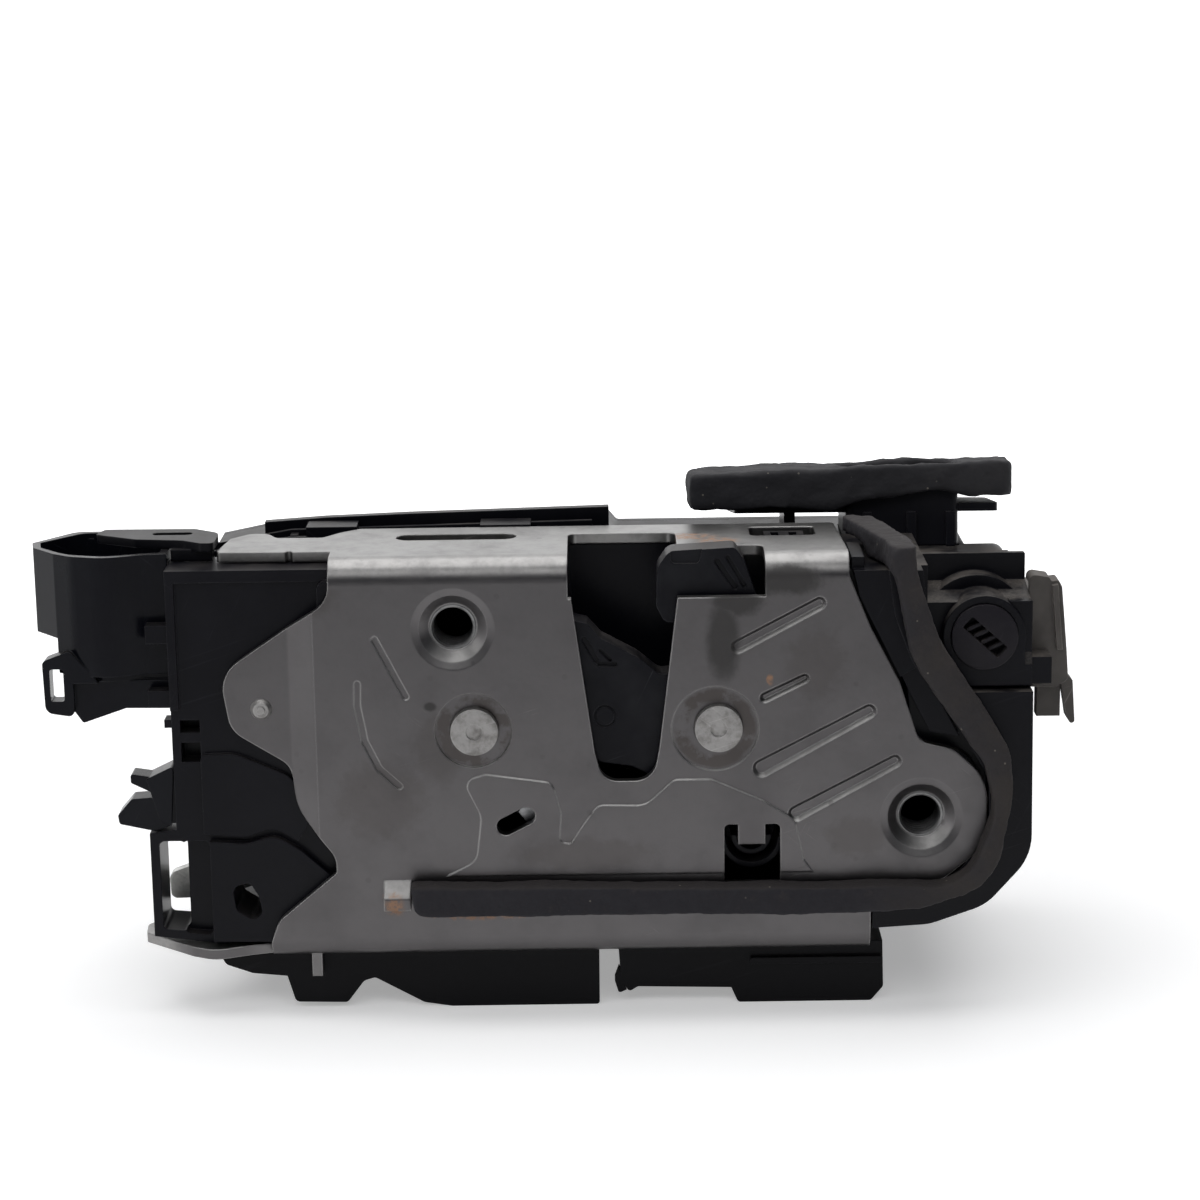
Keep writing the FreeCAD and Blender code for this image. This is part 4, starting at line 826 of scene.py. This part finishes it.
def lumpsAt(p, values):
    # coarse and fine lumps of the foam's skin, in mm
    coarse = noise.noise(p * values["lumpScale"]) * values["lumps"]
    return coarse + noise.noise(p * values["fineScale"]) * values["lumps"] * values["fineShare"]


def edgeSeal(values):
    def shift(p, normal):
        slow = noise.noise(p * values["waveScale"]) * values["wave"]
        return normal * (slow + lumpsAt(p, values) - values["inset"])

    piece = softCopy("edgeSealFoam", "edge_seal", values, shift)
    piece.data.materials.clear()
    piece.data.materials.append(foam["sealFoam"])
    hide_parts("edge_seal")
    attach(piece, "lock_body")


edgeSeal(edgeSealValues)

# Foam collar on the wiring socket

collarValues = {
    "voxel": 0.7, "relax": 6, "inset": 0.1,
    "wave": 0.5, "waveScale": (0.09, 0.06), "waveLayer": 3.0,
    "lumps": 0.25, "lumpScale": 0.35, "fineScale": 1.3, "fineShare": 0.4,
    "standing": (0, 0.1478, 0.989),
    "topLine": [(42, -0.8), (62, -0.3), (85, 0.4), (100, 0.7)],
    "lowerLine": [(42, -0.6), (56, -0.3), (67, -1.1), (74, 0.7), (86, 2.3), (93, 1.1), (101, 1.2)],
}


def lineAt(points, x):
    # height at x along a chain of points
    for (x0, h0), (x1, h1) in zip(points, points[1:]):
        if x < x1:
            share = max(0.0, (x - x0) / (x1 - x0))
            return h0 + (h1 - h0) * share * share * (3 - 2 * share)
    return points[-1][1]


def socketCollar(values):
    # the pad sags between its supports: its upper and lower edges each follow a line of their own
    standing = Vector(values["standing"])
    heights = [standing.dot(v.co) / mm for v in nodes["connector_gasket"].data.vertices]
    low, high = min(heights), max(heights)
    acrossX, acrossY = values["waveScale"]

    def shift(p, normal):
        share = min(1.0, max(0.0, (standing.dot(p) - low) / (high - low)))
        line = lineAt(values["topLine"], p.x) * share + lineAt(values["lowerLine"], p.x) * (1 - share)
        wavePlace = Vector((p.x * acrossX, p.y * acrossY, values["waveLayer"]))
        slow = noise.noise(wavePlace) * values["wave"]
        return normal * (lumpsAt(p, values) - values["inset"]) + Vector((0, 0, slow + line))

    piece = softCopy("socketCollarFoam", "connector_gasket", values, shift)
    piece.data.materials.clear()
    piece.data.materials.append(foam["collarFoam"])
    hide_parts("connector_gasket")
    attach(piece, "lock_body")


socketCollar(collarValues)
print("foam parts made")

# Fixing nuts with their threads

nutValues = {
    "places": [(0, 0), (80.4, -34.7)],
    "coreRadius": 3.36, "threadDepth": 0.42, "pitch": 1.25, "flankSlope": 2.6, "ringStep": 0.1,
    "leadRadius": 0.3, "leadDepth": 0.06, "length": 7.0, "bodyRadius": 7.0,
    "collarRadius": 4.0, "collarLength": 1.65, "frontChamfer": 0.2, "backChamfer": 0.3,
    "steps": 72,
}


def threadedNut(name, x, z, values):
    pitch, core, length = values["pitch"], values["coreRadius"], values["length"]
    collar, body = values["collarRadius"], values["bodyRadius"]
    shoulder, front, back = values["collarLength"], values["frontChamfer"], values["backChamfer"]

    def wallRing(depth):
        def radiusAt(angle):
            turn = (depth / pitch - angle / (2 * math.pi)) % 1.0
            groove = max(0.0, 1 - abs(turn - 0.5) * values["flankSlope"])
            return core + values["threadDepth"] * groove, depth
        return radiusAt

    rows = int(length / values["ringStep"])
    rings = [wallRing(length - i * length / rows) for i in range(rows)]
    rings += [(core + values["leadRadius"], values["leadDepth"]), (core + values["threadDepth"], 0.0)]
    rings += [(collar, 0.0), (collar, shoulder), (body - front, shoulder), (body, shoulder + front)]
    rings += [(body, length - back), (body - back, length), wallRing(length)]
    return spin(name, Vector((x, 0, z)) * mm, rings, values["steps"])


def fixingNuts(values):
    made = [threadedNut("nut%d" % i, x, z, values) for i, (x, z) in enumerate(values["places"])]
    piece = joinPieces("threadedNuts", made)
    piece.data.materials.append(steel["nutSteel"])
    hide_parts("fixing_nuts")
    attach(piece, "lock_body")


fixingNuts(nutValues)

# Cover screws with six-lobe recesses

screwValues = {
    "places": [(-40.4, 0.4), (-28, -50.6), (24, 3.4), (50, -51.6), (93.6, -15.6)],
    "seat": 61.1,
    "shank": [(0.01, -11), (1.1, -10.4), (1.2, -9), (1.2, 0)],  # radius, and height above the seat
    "headRadius": 3.15, "headHeight": 1.6, "rimHeight": 0.5,
    "crown": [(0.35, 0.35), (0.9, 0.05)],  # in from the rim, and down from the top
    "recess": 1.35, "recessLip": 0.45,
    "lobes": 6, "lobeHeight": 0.22,
    "recessWall": [(0, 1.0), (0.08, 0.97), (1.0, 0.9)],  # depth, and scale of the outline there
    "recessTip": 0.15,
    "steps": 60,
}


def coverScrews(values):
    def lobe(depth, scale):
        def outlineAt(angle):
            swing = values["lobeHeight"] * math.cos(values["lobes"] * angle)
            return (values["recess"] + swing) * scale, depth
        return outlineAt

    seat, top, head = values["seat"], values["seat"] + values["headHeight"], values["headRadius"]
    rings = [(radius, seat + height) for radius, height in values["shank"]]
    rings += [(head, seat), (head, seat + values["rimHeight"])]
    rings += [(head - inward, top - down) for inward, down in values["crown"]]
    rings += [(values["recess"] + values["recessLip"], top)]
    rings += [lobe(top - depth, scale) for depth, scale in values["recessWall"]]
    rings += [(0.01, top - values["recessWall"][-1][0] - values["recessTip"])]
    made = []
    for i, (x, z) in enumerate(values["places"]):
        made.append(spin("screw%d" % i, Vector((x, 0, z)) * mm, rings, values["steps"]))
    piece = joinPieces("lobeScrews", made)
    piece.data.materials.append(steel["screwSteel"])
    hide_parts("cover_screws")
    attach(piece, "lock_body")


coverScrews(screwValues)

# Torsion springs in round wire

springValues = {
    "catch_spring": {
        "centre": (45.3, -18), "front": 6.35, "coil": 6.4, "wire": 1.1,
        "turns": 2, "legs": [(2, -20), (8, 14)],
    },
    "pawl_spring": {
        "centre": (3.3, -18), "front": 6.35, "coil": 6.2, "wire": 1.0,
        "turns": 2, "legs": [(-2, 7.9), (9, -9)],
    },
    "lever_spring": {
        "centre": (-30, -42), "front": 14.4, "coil": 5.6, "wire": 1.1,
        "turns": 2, "legs": [(-7.6, -9), (11, -4)],
    },
}

windingValues = {"rise": 1.04, "stepAngle": 0.16, "legSteps": 6, "sides": 12}


def woundSpring(name, values, winding):
    coil, wire, legSteps = values["coil"], values["wire"], winding["legSteps"]
    centre = Vector((values["centre"][0], values["front"] + wire / 2, values["centre"][1]))
    rise = Vector((0, 1.0, 0)) * wire * winding["rise"]
    runs = [Vector((x, 0, z)) for x, z in values["legs"]]
    sides = [Vector((-run.z, 0, run.x)).normalized() * coil * sign for run, sign in zip(runs, (-1, 1))]
    angles = [math.atan2(side.z, side.x) for side in sides]
    sweep = (angles[0] - angles[1]) % (2 * math.pi) + 2 * math.pi * (values["turns"] - 1)
    count = int(sweep / winding["stepAngle"])
    path = [centre + sides[0] + runs[0] * (1 - i / legSteps) for i in range(legSteps)]
    for i in range(count + 1):
        angle = angles[0] - sweep * i / count
        path.append(centre + Vector((math.cos(angle), 0, math.sin(angle))) * coil + rise * (i / count))
    path += [centre + sides[1] + rise + runs[1] * ((i + 1) / legSteps) for i in range(legSteps)]
    piece = tube(name.replace("_s", "S") + "Wire", [p * mm for p in path], wire / 2 * mm, winding["sides"])
    piece.data.materials.append(steel["springSteel"])
    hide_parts(name)
    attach(piece, "lock_body")


for springName, springDetail in springValues.items():
    woundSpring(springName, springDetail, windingValues)
print("nuts, screws and springs made")

# Floor, backdrop and lamps

studioValues = {
    "floorColour": (0.86, 0.86, 0.86, 1),
    "floorRough": 0.9,
    "floorSpecular": 0.1,
    "sheetFront": -7.0,
    "sheetBend": 1.0,
    "bendRadius": 0.6,
    "sheetTop": 2.6,
    "halfWidth": 6.0,
    "glow": 0.34,
    "farGlow": 0.8,
    "behind": (0.1, 0.6),  # metres along Y
    "around": (0.5, 1.2),  # metres from the frame's origin
    "front": (-0.22, -0.1),  # metres along Y
    "world": (0.058, 0.062, 0.074, 1),
    "lamps": [
        {"name": "topSoftbox", "place": (0.0, 0.12, 0.75), "aim": (0.02, 0.02, 0),
         "size": (1.1, 0.8), "power": 7.0},
        {"name": "frontFill", "place": (-0.05, -0.62, 0.6), "aim": (0.02, 0, -0.02),
         "size": (1.3, 0.4), "power": 2.3},
        {"name": "leftStrip", "place": (-0.75, -0.25, 0.15), "aim": (-0.03, 0, -0.02),
         "size": (0.18, 0.8), "power": 1.3},
    ],
}


def sweepPaper(values):
    # pale paper whose glow shows to the camera and in reflections only
    material, tree, out = newFinish("studio paper")
    out["Base Color"].default_value = values["floorColour"]
    out["Roughness"].default_value = values["floorRough"]
    out["Specular IOR Level"].default_value = values["floorSpecular"]
    out["Emission Color"].default_value = (1, 1, 1, 1)
    rays = put(tree, "LightPath").outputs
    mirrored = larger(tree, rays["Is Glossy Ray"], rays["Is Transmission Ray"])
    seen = larger(tree, rays["Is Camera Ray"], mirrored)
    place = objectPlace(tree)
    depth = axisOf(tree, place, "Y")
    near = times(tree, fade(tree, depth, *values["front"]), values["glow"])
    behind = fade(tree, depth, *values["behind"])
    around = fade(tree, vectorCalc(tree, "LENGTH", place), *values["around"])
    far = times(tree, larger(tree, behind, around), values["farGlow"])
    feed(tree, out["Emission Strength"], times(tree, seen, plus(tree, near, far)))
    return material


def sweepSheet(values):
    # the floor bends up into the backdrop
    floor = cadBox[0].z
    bend, radius = values["sheetBend"], values["bendRadius"]
    profile = [(values["sheetFront"], 0.0), (bend, 0.0)]
    for angle in [math.radians(a) for a in range(10, 91, 10)]:  # a quarter turn
        profile.append((bend + radius * math.sin(angle), radius - radius * math.cos(angle)))
    profile.append((bend + radius, values["sheetTop"]))
    half = values["halfWidth"]
    points = [Vector((x, y, floor + z)) for x in (-half, half) for y, z in profile]
    count = len(profile)
    faces = [(i, i + 1, i + 1 + count, i + count) for i in range(count - 1)]
    sheet = meshPiece("studioSweep", points, faces)
    sheet.data.materials.append(sweepPaper(values))


def studioLamps(lamps):
    for lamp in lamps:
        data = bpy.data.lights.new(lamp["name"], "AREA")
        data.shape = "RECTANGLE"
        data.size, data.size_y = lamp["size"]
        data.energy = lamp["power"]
        light = bpy.data.objects.new(lamp["name"], data)
        bpy.context.collection.objects.link(light)
        light.location = lamp["place"]
        away = Vector(lamp["aim"]) - Vector(lamp["place"])
        light.rotation_euler = away.to_track_quat("-Z", "Y").to_euler()


def studioRoom(colour):
    world = bpy.data.worlds.new("studio room")
    world.use_nodes = True
    world.node_tree.nodes["Background"].inputs[0].default_value = colour
    bpy.context.scene.world = world


sweepSheet(studioValues)
studioLamps(studioValues["lamps"])
studioRoom(studioValues["world"])
bpy.context.scene.view_settings.view_transform = "Standard"
print("studio set")
